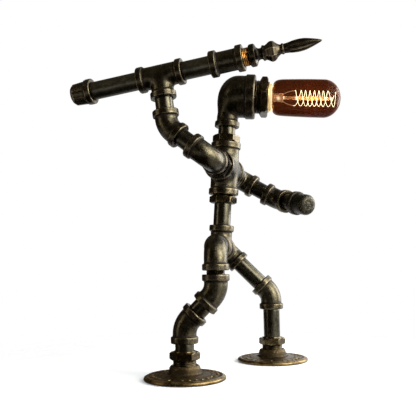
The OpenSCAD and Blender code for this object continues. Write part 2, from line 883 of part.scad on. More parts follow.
// Screw cap with rolled ridges, open towards the glass
module bulb_cap() {
    color("silver") face() translate([0, 0, cap_back_x]) difference() {
        rotate_extrude() polygon(concat(
            [[0, 0], [cap_r - 4, 0]],
            [for (i = [0 : 4]) for (k = [0, 1]) [cap_r - (k == 0 ? 1 : 0.2), 3.5 + (i + k / 2) * 3.6]],
            [[cap_r - 0.2, cap_h], [0, cap_h]]
        ));
        translate([0, 0, 1]) cylinder(r = cap_r - 4.6, h = cap_h);
        translate([0, 0, cap_h - neck_in]) cylinder(r = neck_r + thread_gap, h = neck_in + 1);
    }
}

// Dark glass disc and the solder tip behind the cap
module bulb_cap_insulator() {
    color("black") face() translate([0, 0, cap_back_x]) {
        rotate([180, 0, 0]) cylinder(r1 = cap_r - 4.2, r2 = 4, h = cap_tip - 0.6);
        rotate([180, 0, 0]) cylinder(r = 3.4, h = cap_tip);
    }
}

// Glass mount: a flare sealed to the neck, a press, and a rod that carries the filament
press_x = 14.5;
press_r = 6;
stem_back_x = 0.5 - neck_in;
stem_flare_h = 6;
lead_r = 0.5;
lead_apart = 3;
rod_end_x = 73;
coil_start_x = 26;
coil_end_x = 74;

// Along the bulb's axis from its base, with the two leads above and below each other
module mount() {
    face() translate([0, 0, bulb_base_x]) rotate([0, 0, 90]) children();
}

module bulb_stem() {
    color([0.9, 0.9, 0.85, 0.6]) mount() {
        difference() {
            union() {
                translate([0, 0, stem_back_x]) cylinder(r1 = neck_r - glass_wall, r2 = press_r, h = stem_flare_h);
                translate([0, 0, stem_back_x + stem_flare_h])
                    cylinder(r = press_r, h = press_x - stem_back_x - stem_flare_h);
            }
            translate([0, 0, stem_back_x - 0.1]) cylinder(r1 = neck_r - 2, r2 = press_r - 2, h = stem_flare_h - 1);
            for (side = [-1, 1]) lead(lead_foot(side) * 1.03 - lead_tip(side) * 0.03, lead_tip(side), lead_r + thread_gap);
        }
        translate([0, 0, press_x]) cylinder(r = 1.2, h = rod_end_x - press_x);
        translate([0, 0, rod_end_x]) sphere(r = 1.8);
    }
}

// Point on the filament's coil at a share t of its length
function coil_point(t) = let (a = 90 + 360 * coil_turns * t)
    [coil_r * cos(a), coil_r * sin(a), coil_start_x + (coil_end_x - coil_start_x) * t];

// Ends of the two lead wires: in the press, and beside the start of the coil
function lead_foot(side) = [0, side * lead_apart, press_x - 2];
function lead_tip(side) = [0, side * (coil_r + 0.9), coil_start_x];

// Two lead wires that spread from the press to the ends of the coil
module bulb_leads() {
    last = coil_point(1);
    color("silver") mount() {
        for (side = [-1, 1]) lead(lead_foot(side), lead_tip(side), lead_r);
        lead([0, -coil_r - 0.9, coil_start_x - 0.3], [0, -coil_r - 0.9, coil_end_x + 2], lead_r / 2);
        lead([0, -coil_r - 0.9, coil_end_x + 2], [last[0], last[1] + 0.9, coil_end_x + 2], lead_r / 2);
    }
}

// Straight round wire from point a to point b
module lead(a, b, r) {
    d = b - a;
    length = norm(d);
    translate(a) rotate([0, acos(d[2] / length), atan2(d[1], d[0])]) cylinder(r = r, h = length);
}

// Filament: a thin tube swept along the coil
coil_steps = 16;
coil_sides = 6;
coil_rings = coil_steps * coil_turns;

coil_points = [
    for (i = [0 : coil_rings]) let (t = i / coil_rings, c = coil_point(t),
        out = [c[0], c[1], 0] / coil_r)
    for (j = [0 : coil_sides - 1]) let (a = 360 * j / coil_sides)
        c + filament_d / 2 * (cos(a) * out + sin(a) * [0, 0, 1])
];

coil_faces = concat(
    [[for (j = [0 : coil_sides - 1]) j]],
    [for (i = [0 : coil_rings - 1]) for (j = [0 : coil_sides - 1]) let (k = (j + 1) % coil_sides)
        [i * coil_sides + j, (i + 1) * coil_sides + j, (i + 1) * coil_sides + k, i * coil_sides + k]],
    [[for (j = [coil_sides - 1 : -1 : 0]) coil_rings * coil_sides + j]]
);

module bulb_filament() {
    color("orange") mount()
        polyhedron(points = coil_points, faces = coil_faces, convexity = 10);
}

// ---------- near arm and spear ----------

module near_shoulder_elbow() {
    color(iron) near_shoulder() rotate([90 - near_arm_rise, 0, -90])
        elbow(90, elbow_reach, elbow_bend_r);
}

module near_arm_pipe() {
    color(iron) near_shoulder() towards(near_arm_angle) translate([0, 0, elbow_reach])
        pipe(near_arm_show);
}

module near_elbow() {
    color(iron) near_elbow_place() rotate([180, -near_arm_angle, 0])
        elbow(knee_angle, bend_reach, bend_bend_r);
}

module near_forearm_pipe() {
    color(iron) near_elbow_place() towards(near_forearm_angle) translate([0, 0, bend_reach])
        pipe(near_forearm_show);
}

module spear_tee() {
    color(iron) spear() rotate([180, 0, 0]) tee();
}

module spear_rear_pipe() {
    color(iron) spear() towards(180) translate([0, 0, elbow_reach]) pipe(spear_rear_show);
}

module spear_front_pipe() {
    color(iron) spear() towards(0) translate([0, 0, elbow_reach]) pipe(spear_front_show);
}

// Pipe cap with its mouth at z = 0: a band, a body and a rounded end at z = length
module pipe_cap(length, flat_r, round_r) {
    difference() {
        rotate_extrude() polygon(concat(
            [[0, 0]],
            arc([band_r - band_round, band_round], band_round, -90, 0),
            arc([band_r - band_round, band_w - band_round], band_round, 0, 90),
            arc([body_r + 0.7, band_w + 0.7], 0.7, 270, 180),
            arc([flat_r, length - round_r], round_r, 0, 90),
            [[0, length]]
        ));
        socket(socket_r, socket_depth);
    }
}

// Cap on the spear's butt, with cast grip ribs round its body
module spear_end_cap() {
    rib_count = 8;
    rib_h = 0.9;
    rib_len = spear_cap_len - butt_round - band_w + 1;
    color(iron) spear() towards(180) translate([0, 0, cap_rim_x]) {
        pipe_cap(spear_cap_len, butt_flat_r, butt_round);
        for (i = [0 : rib_count - 1]) rotate([0, 0, i * 360 / rib_count])
            translate([body_r - 0.6, -1.2, band_w - 1]) cube([0.6 + rib_h, 2.4, rib_len]);
    }
}

module spear_coupling() {
    half = coupling_len / 2;
    near = [for (p = mouth_outline(coupling_body_d / 2, band_r, band_w, half)) if (p[1] < half) p];
    color(iron) spear() towards(0) translate([0, 0, coupling_x]) difference() {
        rotate_extrude() polygon(concat(near,
            [for (i = [len(near) - 1 : -1 : 0]) [near[i][0], coupling_len - near[i][1]]]));
        translate([0, 0, -1]) cylinder(r = bore_r, h = coupling_len + 2);
        socket(socket_r, socket_depth);
        translate([0, 0, coupling_len]) rotate([180, 0, 0]) socket(socket_r, socket_depth);
    }
}

// Short copper pipe that carries the point
module spear_copper_pipe() {
    color([0.62, 0.36, 0.18]) spear() towards(0) translate([0, 0, coupling_x + coupling_len]) difference() {
        translate([0, 0, -grip]) cylinder(r = pipe_r, h = grip + copper_show);
        translate([0, 0, -grip - 1]) cylinder(r = bore_r, h = grip + copper_show + 2);
    }
}

// Radius of the turned point at a share u of its length: base ring, neck, vase, collar and blade
point_shares = [0, 0.025, 0.05, 0.088, 0.108, 0.14, 0.17, 0.2, 0.25, 0.29, 0.32, 0.345, 0.37, 0.4,
    0.43, 0.455, 0.485, 0.5, 0.54, 0.6, 0.67, 0.75, 0.83, 0.9, 0.96, 1];
ring_r = point_base_d / 2;
vase_r = vase_d / 2;
blade_r = blade_d / 2;
point_radii = [ring_r - 2.6, ring_r - 0.5, ring_r, ring_r - 0.2, ring_r - 3.6, ring_r - 6.4, 0.5 * vase_r,
    0.56 * vase_r, 0.75 * vase_r, 0.92 * vase_r, vase_r, 0.98 * vase_r, 0.86 * vase_r, 0.6 * vase_r,
    0.76 * blade_r, 0.74 * blade_r, 0.8 * blade_r, 0.7 * blade_r, 0.8 * blade_r, 0.94 * blade_r,
    blade_r, 0.94 * blade_r, 0.72 * blade_r, 0.46 * blade_r, 0.2 * blade_r, 0.05 * blade_r];
point_sides = 64;
vase_facets = 8;
blade_flutes = 8;

// Share of faceting and of fluting at a share u of the length
function facet_depth(u) = u > 0.17 && u < 0.42 ? 0.06 * sin((u - 0.17) / 0.25 * 180) : 0;
function flute_depth(u) = u > 0.5 ? 0.1 * sin(min(1, (u - 0.5) / 0.48) * 180) : 0;

spear_point_points = [
    for (i = [0 : len(point_shares) - 1]) for (j = [0 : point_sides - 1])
        let (u = point_shares[i], a = 360 * j / point_sides,
            r = point_radii[i] * (1 - facet_depth(u) * pow(cos(vase_facets * a / 2), 2)
                - flute_depth(u) * pow(cos(blade_flutes * a / 2), 2)))
        [r * cos(a), r * sin(a), u * point_len]
];

spear_point_faces = concat(
    [[for (j = [0 : point_sides - 1]) j]],
    [for (i = [0 : len(point_shares) - 2]) for (j = [0 : point_sides - 1]) let (k = (j + 1) % point_sides)
        [i * point_sides + j, (i + 1) * point_sides + j, (i + 1) * point_sides + k, i * point_sides + k]],
    [[for (j = [point_sides - 1 : -1 : 0]) (len(point_shares) - 1) * point_sides + j]]
);

module spear_point() {
    color(iron) spear() towards(0) translate([0, 0, point_x])
        polyhedron(points = spear_point_points, faces = spear_point_faces, convexity = 6);
}

// ---------- far arm ----------

module far_shoulder_elbow() {
    color(iron) far_shoulder() rotate([90 + far_arm_drop, 0, 90])
        elbow(90, elbow_reach, elbow_bend_r);
}

module far_arm_pipe() {
    color(iron) far_shoulder() towards(-far_arm_drop) translate([0, 0, elbow_reach])
        pipe(far_arm_show);
}

module far_elbow() {
    color(iron) far_elbow_place() elbow(knee_angle, bend_reach, bend_bend_r);
}

module far_wrist_pipe() {
    color(iron) far_hand() translate([0, 0, bend_reach]) pipe(wrist_show);
}

module fist_cap() {
    fist_round = 10;
    color(iron) far_hand() translate([0, 0, bend_reach + wrist_show])
        pipe_cap(fist_len, body_r - fist_round, fist_round);
}

// ---------- assembly ----------

near_foot_flange();
near_ankle_bushing();
near_ankle_pipe();
near_ankle_elbow();
near_shin_pipe();
near_knee_elbow();
near_thigh_pipe();
near_hip_elbow();
near_hip_pipe();
hip_tee();
far_hip_pipe();
far_hip_elbow();
far_thigh_pipe();
far_knee_elbow();
far_shin_pipe();
far_ankle_bushing();
far_foot_flange();
torso_pipe();
waist_bushing();
chest_cross();
collar_bushing();
neck_pipe();
near_shoulder_bushing();
near_shoulder_pipe();
far_shoulder_bushing();
far_shoulder_pipe();
cord_grommet();
supply_wires();
head_elbow();
face_bushing();
holder_body();
holder_shell();
holder_contact();
terminal_screws();
head_wires();
wire_splices();
bulb_glass();
bulb_cap();
bulb_cap_insulator();
bulb_stem();
bulb_leads();
bulb_filament();
near_shoulder_elbow();
near_arm_pipe();
near_elbow();
near_forearm_pipe();
spear_tee();
spear_rear_pipe();
spear_end_cap();
spear_front_pipe();
spear_coupling();
spear_copper_pipe();
spear_point();
far_shoulder_elbow();
far_arm_pipe();
far_elbow();
far_wrist_pipe();
fist_cap();
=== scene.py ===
"""Desk lamp in the shape of a striding figure, built from threaded pipe fittings.

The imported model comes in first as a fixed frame. The fittings, the spear, the lamp holder and the
bulb are then built over it as surfaces worked out on grids, and dressed with procedural finishes.
Sizes are in millimetres up to the point where a mesh is made, which is in metres.
"""

import logging
import math
from collections.abc import Callable, Iterator, Sequence
from dataclasses import dataclass, field, replace
from enum import Enum
from typing import Any, ClassVar

import bmesh
import bpy
import numpy as np
from mathutils import Matrix, Vector


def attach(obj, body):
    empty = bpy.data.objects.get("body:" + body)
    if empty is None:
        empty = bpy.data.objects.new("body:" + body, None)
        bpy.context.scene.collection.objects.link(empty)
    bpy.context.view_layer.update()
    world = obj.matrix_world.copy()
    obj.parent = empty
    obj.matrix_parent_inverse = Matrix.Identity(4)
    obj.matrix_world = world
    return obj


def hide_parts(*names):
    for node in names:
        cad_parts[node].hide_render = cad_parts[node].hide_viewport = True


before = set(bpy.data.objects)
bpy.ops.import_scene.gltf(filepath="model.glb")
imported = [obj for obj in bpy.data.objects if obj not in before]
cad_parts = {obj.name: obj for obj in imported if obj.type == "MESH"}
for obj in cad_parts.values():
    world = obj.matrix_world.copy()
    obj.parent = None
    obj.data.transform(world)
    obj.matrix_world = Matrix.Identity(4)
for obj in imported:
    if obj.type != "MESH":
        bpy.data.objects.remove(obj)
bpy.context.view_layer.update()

Array = np.ndarray
Triple = tuple[float, float, float]
Colour = Triple
Pair = tuple[Array, Array]
Shape = Callable[[Array, Array, Array], Pair]

MM = 0.001
FULL_TURN = 2 * math.pi
CAP_PITCH = 3.6
X_AXIS, Y_AXIS, Z_AXIS = np.eye(3)
LOG = logging.getLogger("lamp")


# ---- places


class Axis(Enum):
    """The axis that a turn goes about."""

    X = 0
    Y = 1
    Z = 2


@dataclass(frozen=True)
class Place:
    """An origin and three axes, the columns of a matrix, in the lamp's own frame."""

    origin: Array = field(default_factory=lambda: np.zeros(3))
    axes: Array = field(default_factory=lambda: np.eye(3))

    def moved(self, x: float = 0.0, y: float = 0.0, z: float = 0.0) -> "Place":
        """The same axes with the origin moved along them."""
        return Place(self.origin + self.axes @ np.array([x, y, z]), self.axes)

    def turned(self, axis: Axis, degrees: float) -> "Place":
        """The same origin with the axes turned about one of them.

        Args:
            axis: the axis to turn about.
            degrees: the angle, by the right-hand rule.

        Returns:
            The turned place.
        """
        c, s = math.cos(math.radians(degrees)), math.sin(math.radians(degrees))
        i, j = (axis.value + 1) % 3, (axis.value + 2) % 3
        turn = np.eye(3)
        turn[i, i] = turn[j, j] = c
        turn[i, j], turn[j, i] = -s, s
        return Place(self.origin, self.axes @ turn)

    def towards(self, degrees: float) -> "Place":
        """Turned so that +Z points at an angle in the XZ plane, measured from +X."""
        return self.turned(Axis.Y, 90.0 - degrees)

    def world(self, points: Array) -> Array:
        """Points given in this place, in the lamp's frame."""
        return points @ self.axes.T + self.origin


# ---- surfaces


@dataclass(frozen=True)
class Patch:
    """A grid of points with the wear and the grime at each of them; on some pieces they also carry painted
    shade, painted highlights and painted glow.
    """

    points: Array
    wear: Array
    grime: Array
    loop_rows: bool = False
    loop_cols: bool = True
    flip: bool | None = None
    drop: Array | None = None

    def faces(self) -> Array:
        """Quads between neighbouring grid points, turned so that they face outwards.

        Returns:
            An array of four vertex numbers a face, without those that drop marks. Where flip isn't
            set, the sign of the volume that the patch encloses, the sum of a . (b x c) / 6 over
            its triangles, decides it.
        """
        rows, cols = self.points.shape[:2]
        index = np.arange(rows * cols).reshape(rows, cols)
        if self.loop_rows:
            index = np.vstack([index, index[:1]])
        if self.loop_cols:
            index = np.hstack([index, index[:, :1]])
        quads = np.stack([index[:-1, :-1], index[:-1, 1:], index[1:, 1:], index[1:, :-1]], axis=-1)
        quads = quads.reshape(-1, 4)
        flip = self.flip
        if flip is None:
            flat = self.points.reshape(-1, 3)
            flat = flat - flat.mean(axis=0)
            a, b, c, d = (flat[quads[:, k]] for k in range(4))
            volume = np.einsum("ij,ij->i", a, np.cross(b, c)) + np.einsum("ij,ij->i", a, np.cross(c, d))
            flip = bool(volume.sum() < 0)
        if self.drop is not None:
            quads = quads[~self.drop.ravel()]
        return quads[:, ::-1] if flip else quads


@dataclass(frozen=True)
class Outline:
    """A line of points in (along, radius) with wear on its convex bends and grime in its hollows."""

    along: Array
    radius: Array
    wear: Array
    grime: Array
    closed: bool

    @staticmethod
    def plain(line: Array, closed: bool = False) -> "Outline":
        """An outline through rows of (along, radius), with no wear and no grime."""
        zero = np.zeros(len(line))
        return Outline(line[:, 0], line[:, 1], zero, zero, closed)

    @property
    def line(self) -> Array:
        """Its points as rows of (along, radius)."""
        return np.stack([self.along, self.radius], axis=-1)


def corner_arc(before: Array, here: Array, after: Array, rounding: float) -> tuple[Array, float]:
    """Arc that touches both sides of a corner, so it starts R tan(turn / 2) before the corner.

    A corner that turns less than flat gets no arc, a bare corner past marked counts as a bend, and
    an arc takes at most a share of the shorter side. Turns are in radians.

    Args:
        before: the corner before this one.
        here: the corner.
        after: the corner after this one.
        rounding: the arc's radius R.

    Returns:
        The arc's points, and its turn in radians, or 0 where the corner is too flat to be marked.
    """
    flat, marked, share, longest = 0.02, 0.3, 0.48, math.radians(20)
    into, out = here - before, after - here
    len_in, len_out = np.hypot(*into), np.hypot(*out)
    into, out = into / len_in, out / len_out
    turn = math.atan2(into[0] * out[1] - into[1] * out[0], float(into @ out))
    if rounding <= 0 or abs(turn) < flat:
        return here[None], turn if abs(turn) > marked else 0.0
    reach = min(rounding * math.tan(abs(turn) / 2), share * len_in, share * len_out)
    radius = reach / math.tan(abs(turn) / 2)
    normal = np.array([-into[1], into[0]]) * math.copysign(1.0, turn)
    middle = here - into * reach + normal * radius
    steps = max(2, math.ceil(abs(turn) / longest))
    angle = np.linspace(0, turn, steps + 1)[:, None]
    arm = -normal * radius
    return middle + np.hstack([np.cos(angle) * arm[0] - np.sin(angle) * arm[1],
                               np.sin(angle) * arm[0] + np.cos(angle) * arm[1]]), turn


def rounded_outline(corners: Sequence[Triple], closed: bool = True, step: float = 1.6,
                    fade: float = 1.1) -> Outline:
    """Outline through corners with round bends.

    Wear and grime fall off as exp(-distance / fade) from the convex and the hollow bends.

    Args:
        corners: (along, radius, rounding) of each corner, in order.
        closed: whether the last corner joins the first.
        step: longest distance between two points.
        fade: distance over which wear fades.

    Returns:
        The sampled outline.
    """
    edge_wear = 0.62
    spots = np.array([c[:2] for c in corners], float)
    count = len(corners)
    runs: list[Array] = []
    signs: list[Array] = []
    for i, (_, _, rounding) in enumerate(corners):
        if not closed and i in (0, count - 1):
            run, mark = spots[i][None], 0.0
        else:
            run, mark = corner_arc(spots[i - 1], spots[i], spots[(i + 1) % count], rounding)
        runs.append(run)
        signs.append(np.full(len(run), mark))
    points, sign = np.vstack(runs), np.concatenate(signs)
    ahead = np.vstack([points[1:], points[:1]])
    gap = np.hypot(*(ahead - points).T)
    parts = np.maximum(1, np.ceil(gap / step)).astype(int)
    if not closed:
        parts[-1] = 1
    owner = np.repeat(np.arange(len(points)), parts)
    share = np.arange(len(owner)) - np.repeat(np.cumsum(parts) - parts, parts)
    share = (share / parts[owner])[:, None]
    fine = points[owner] * (1 - share) + ahead[owner] * share
    marks = np.where(share[:, 0] == 0, sign[owner], 0.0)
    nxt = np.vstack([fine[1:], fine[:1]])
    area = np.sum(fine[:, 0] * nxt[:, 1] - fine[:, 1] * nxt[:, 0])
    length = np.concatenate([[0], np.cumsum(np.hypot(*(nxt - fine).T))])
    total, place = length[-1], length[:-1]

    def nearness(chosen: Array) -> Array:
        """exp(-distance / fade) from each point to the nearest chosen one, along the outline."""
        if not chosen.any():
            return np.zeros(len(fine))
        apart = np.abs(place[:, None] - place[None, chosen])
        if closed:
            apart = np.minimum(apart, total - apart)
        return np.exp(-apart.min(axis=1) / fade)

    convex = marks * np.sign(area) > 0
    hollow = marks * np.sign(area) < 0
    return Outline(fine[:, 0], fine[:, 1], edge_wear * nearness(convex), nearness(hollow), closed)


@dataclass(frozen=True)
class BentPath:
    """A line that comes in along +X, bends by an angle towards +Z and leaves.

    It starts at (-reach, 0, 0). On the bend, at a turn t, a point is
    (-R tan(angle / 2) + R sin t, 0, R - R cos t), and the outward direction is (sin t, 0, -cos t).
    """

    angle: float
    reach: float
    bend_r: float

    def at(self, along: Array) -> Pair:
        """Centres and outward directions.

        Args:
            along: distances from the first mouth.

        Returns:
            The centres and the outward unit vectors, a row for each distance.
        """
        full = math.radians(self.angle)
        tangent = self.bend_r * math.tan(full / 2)
        first = self.reach - tangent
        turn = np.clip((along - first) / self.bend_r, 0, full)
        over = np.maximum(along - first - self.bend_r * full, 0)
        before = np.minimum(along - first, 0)
        zero = np.zeros_like(along)
        x = -tangent + self.bend_r * np.sin(turn) + before + over * math.cos(full)
        z = self.bend_r * (1 - np.cos(turn)) + over * math.sin(full)
        return np.stack([x, zero, z], axis=-1), np.stack([np.sin(turn), zero, -np.cos(turn)], axis=-1)

    @property
    def length(self) -> float:
        """Distance along the line from mouth to mouth."""
        full = math.radians(self.angle)
        return 2 * (self.reach - self.bend_r * math.tan(full / 2)) + self.bend_r * full


@dataclass(frozen=True)
class StraightPath:
    """The +Z axis, with +X as the outward direction."""

    def at(self, along: Array) -> Pair:
        """Centres (0, 0, along) and outward directions (1, 0, 0)."""
        zero = np.zeros_like(along)
        return np.stack([zero, zero, along], axis=-1), np.stack([zero + 1, zero, zero], axis=-1)


def circle(sides: int) -> Array:
    """Angles of evenly spaced points round a circle, in radians."""
    return np.arange(sides) * (FULL_TURN / sides)


def rings(centres: Array, outs: Array, across: Array, radius: Array, angles: Array) -> Array:
    """Rings of points centre + radius (cos(a) out + sin(a) across), a row for each ring."""
    cos, sin = np.cos(angles)[None, :, None], np.sin(angles)[None, :, None]
    return centres[:, None] + radius[..., None] * (cos * outs[:, None] + sin * np.atleast_2d(across)[:, None])


def sweep(outline: Outline, place: Place, path: BentPath | StraightPath = StraightPath(), sides: int = 96,
          shape: Shape | None = None, angles: Array | None = None) -> Patch:
    """Carries an outline round and along a path.

    A point is centre(s) + r (cos(a) out(s) + sin(a) Y), with r = shape(s, a, radius).

    Args:
        outline: the outline in (along, radius).
        place: where the path lies.
        path: the line to follow.
        sides: points round the path, where angles aren't given.
        shape: changes the radius round the path, and gives wear to add.
        angles: the angles round the path.

    Returns:
        The surface.
    """
    angles = circle(sides) if angles is None else angles
    centres, outs = path.at(outline.along)
    radius, wear, grime = (np.repeat(values[:, None], len(angles), axis=1)
                           for values in (outline.radius, outline.wear, outline.grime))
    if shape is not None:
        radius, more = shape(outline.along[:, None], angles[None, :], radius)
        wear = np.maximum(wear, more)
    points = rings(centres, outs, Y_AXIS, radius, angles)
    return Patch(place.world(points), wear, grime, loop_rows=outline.closed)


def smooth_curve(knots: Array, x: Array) -> Array:
    """Cubic Hermite curve through knots, with slopes limited so that it doesn't overshoot.

    A knot's slope is the harmonic mean 2 a b / (a + b) of the slopes a and b beside it, or 0 where
    they differ in sign.

    Args:
        knots: rows of (x, y) with x rising.
        x: where to read the curve.

    Returns:
        The curve's values: h00 y0 + h10 d m0 + h01 y1 + h11 d m1 on each stretch of length d.
    """
    kx, ky = knots[:, 0], knots[:, 1]
    step = np.diff(kx)
    slope = np.diff(ky) / step
    product, total = slope[:-1] * slope[1:], slope[:-1] + slope[1:]
    inner = np.where(product > 0, 2 * product / np.where(total == 0, 1, total), 0)
    tangent = np.concatenate([[slope[0]], inner, [slope[-1]]])
    i = np.clip(np.searchsorted(kx, x, side="right") - 1, 0, len(step) - 1)
    t = np.clip((x - kx[i]) / step[i], 0, 1)
    d = step[i]
    return ((2 * t**3 - 3 * t**2 + 1) * ky[i] + (t**3 - 2 * t**2 + t) * d * tangent[i]
            + (3 * t**2 - 2 * t**3) * ky[i + 1] + (t**3 - t**2) * d * tangent[i + 1])


def nearest_turn(angles: Array, target: float) -> Array:
    """Signed difference from a target angle, in radians within half a turn."""
    return (angles - target + math.pi) % FULL_TURN - math.pi


def rise(values: Array, start: float, width: float) -> Array:
    """A straight ramp from 0 at start to 1 a width further on."""
    return np.clip((values - start) / width, 0, 1)


def fall(values: Array, end: float, width: float) -> Array:
    """A straight ramp from 1 a width before the end to 0 at the end."""
    return np.clip((end - values) / width, 0, 1)


# ---- shaders


class Wire:
    """A shader socket that takes part in sums and products as a number would."""

    def __init__(self, shader: "Shader", socket: bpy.types.NodeSocket) -> None:
        """Keeps the socket and the shader that new nodes go into."""
        self.shader = shader
        self.socket = socket

    def _math(self, operation: str, a: Any, b: Any, clamp: bool = False) -> "Wire":
        """A Math node on two values."""
        node = self.shader.node("ShaderNodeMath", {"operation": operation, "use_clamp": clamp}, {0: a, 1: b})
        return self.shader.wire(node)

    def __add__(self, other: Any) -> "Wire":
        """Sum."""
        return self._math("ADD", self, other)

    def __sub__(self, other: Any) -> "Wire":
        """Difference."""
        return self._math("SUBTRACT", self, other)

    def __rsub__(self, other: Any) -> "Wire":
        """Difference, reflected."""
        return self._math("SUBTRACT", other, self)

    def __mul__(self, other: Any) -> "Wire":
        """Product."""
        return self._math("MULTIPLY", self, other)

    __radd__ = __add__
    __rmul__ = __mul__

    def most(self, other: Any) -> "Wire":
        """The larger of the two."""
        return self._math("MAXIMUM", self, other)

    def clamped(self) -> "Wire":
        """The value kept between 0 and 1."""
        return self._math("ADD", self, 0.0, clamp=True)

    def ramped(self, low: float, high: float) -> "Wire":
        """A soft step from 0 at low to 1 at high."""
        node = self.shader.node("ShaderNodeMapRange", {"interpolation_type": "SMOOTHSTEP"},
                                {"Value": self, "From Min": low, "From Max": high})
        return self.shader.wire(node, "Result")


class Shader:
    """The node tree of one material or of the world."""

    def __init__(self, owner: bpy.types.Material | bpy.types.World) -> None:
        """Empties the owner's tree."""
        self.owner = owner
        owner.use_nodes = True
        self.tree = owner.node_tree
        self.tree.nodes.clear()
        self._coords: bpy.types.Node | None = None

    @staticmethod
    def new(name: str) -> "Shader":
        """A shader on a new material."""
        return Shader(bpy.data.materials.new(name))

    def node(self, kind: str, settings: dict[str, Any] | None = None,
             inputs: dict[str | int, Any] | None = None) -> bpy.types.Node:
        """Adds a node.

        Args:
            kind: the node's type name.
            settings: its properties, set before the sockets.
            inputs: value, colour, socket or Wire for each input, by name or number.

        Returns:
            The new node.
        """
        made = self.tree.nodes.new(kind)
        for key, value in (settings or {}).items():
            setattr(made, key, value)
        for key, value in (inputs or {}).items():
            socket = made.inputs[key]
            if isinstance(value, Wire):
                self.tree.links.new(value.socket, socket)
            elif isinstance(value, bpy.types.NodeSocket):
                self.tree.links.new(value, socket)
            elif isinstance(value, tuple) and socket.type == "RGBA":
                socket.default_value = (*value, 1.0)
            else:
                socket.default_value = value
        return made

    def wire(self, node: bpy.types.Node, output: str | int = 0) -> Wire:
        """One output of a node as a Wire."""
        return Wire(self, node.outputs[output])

    @property
    def coords(self) -> bpy.types.NodeSocket:
        """Object coordinates, in metres in the lamp's frame."""
        if self._coords is None:
            self._coords = self.node("ShaderNodeTexCoord")
        return self._coords.outputs["Object"]

    @property
    def facing_up(self) -> Wire:
        """Upward part of the surface's own normal, from -1 to 1."""
        normal = self.node("ShaderNodeTexCoord").outputs["Normal"]
        return self.wire(self.node("ShaderNodeSeparateXYZ", None, {0: normal}), "Z")

    def noise(self, size: float, detail: float, rough: float) -> Wire:
        """Noise from 0 to 1: the size of its features in millimetres, its octaves and their share."""
        made = self.node("ShaderNodeTexNoise", None, {
            "Vector": self.coords, "Scale": 1 / (size * MM), "Detail": detail, "Roughness": rough})
        return self.wire(made, "Fac")

    def cells(self, size: float) -> Wire:
        """Distance to the nearest of scattered points that lie a size in millimetres apart."""
        made = self.node("ShaderNodeTexVoronoi", None, {"Vector": self.coords, "Scale": 1 / (size * MM)})
        return self.wire(made, "Distance")

    def attribute(self, name: str) -> Wire:
        """A value stored at the mesh's points."""
        return self.wire(self.node("ShaderNodeAttribute", {"attribute_name": name}), "Fac")

    def mixed(self, factor: Any, a: Any, b: Any) -> Wire:
        """Colour between a, where the factor is 0, and b, where it is 1."""
        made = self.node("ShaderNodeMix", {"data_type": "RGBA"}, {0: factor, 6: a, 7: b})
        return self.wire(made, 2)

    def bump(self, height: Any, depth: float) -> Wire:
        """Normal of a surface that a height from 0 to 1 raises by a depth in millimetres."""
        made = self.node("ShaderNodeBump", None, {"Height": height, "Distance": depth * MM})
        return self.wire(made, "Normal")

    @property
    def background_rays(self) -> Wire:
        """1 for camera, glossy and transmission rays, and 0 for the rest."""
        path = self.node("ShaderNodeLightPath")
        seen = self.wire(path, "Is Camera Ray").most(self.wire(path, "Is Transmission Ray"))
        return seen.most(self.wire(path, "Is Glossy Ray"))

    def close(self, kind: str, surface: bpy.types.Node) -> Any:
        """Links a surface to an output node of a kind, and gives back the material or the world."""
        self.node(kind, None, {"Surface": surface.outputs[0]})
        return self.owner

    def finish(self, **inputs: Any) -> bpy.types.Material:
        """The material, closed with a Principled shader: inputs are its sockets, _ for each space."""
        surface = self.node("ShaderNodeBsdfPrincipled", None,
                            {key.replace("_", " "): value for key, value in inputs.items()})
        return self.close("ShaderNodeOutputMaterial", surface)


# ---- finishes


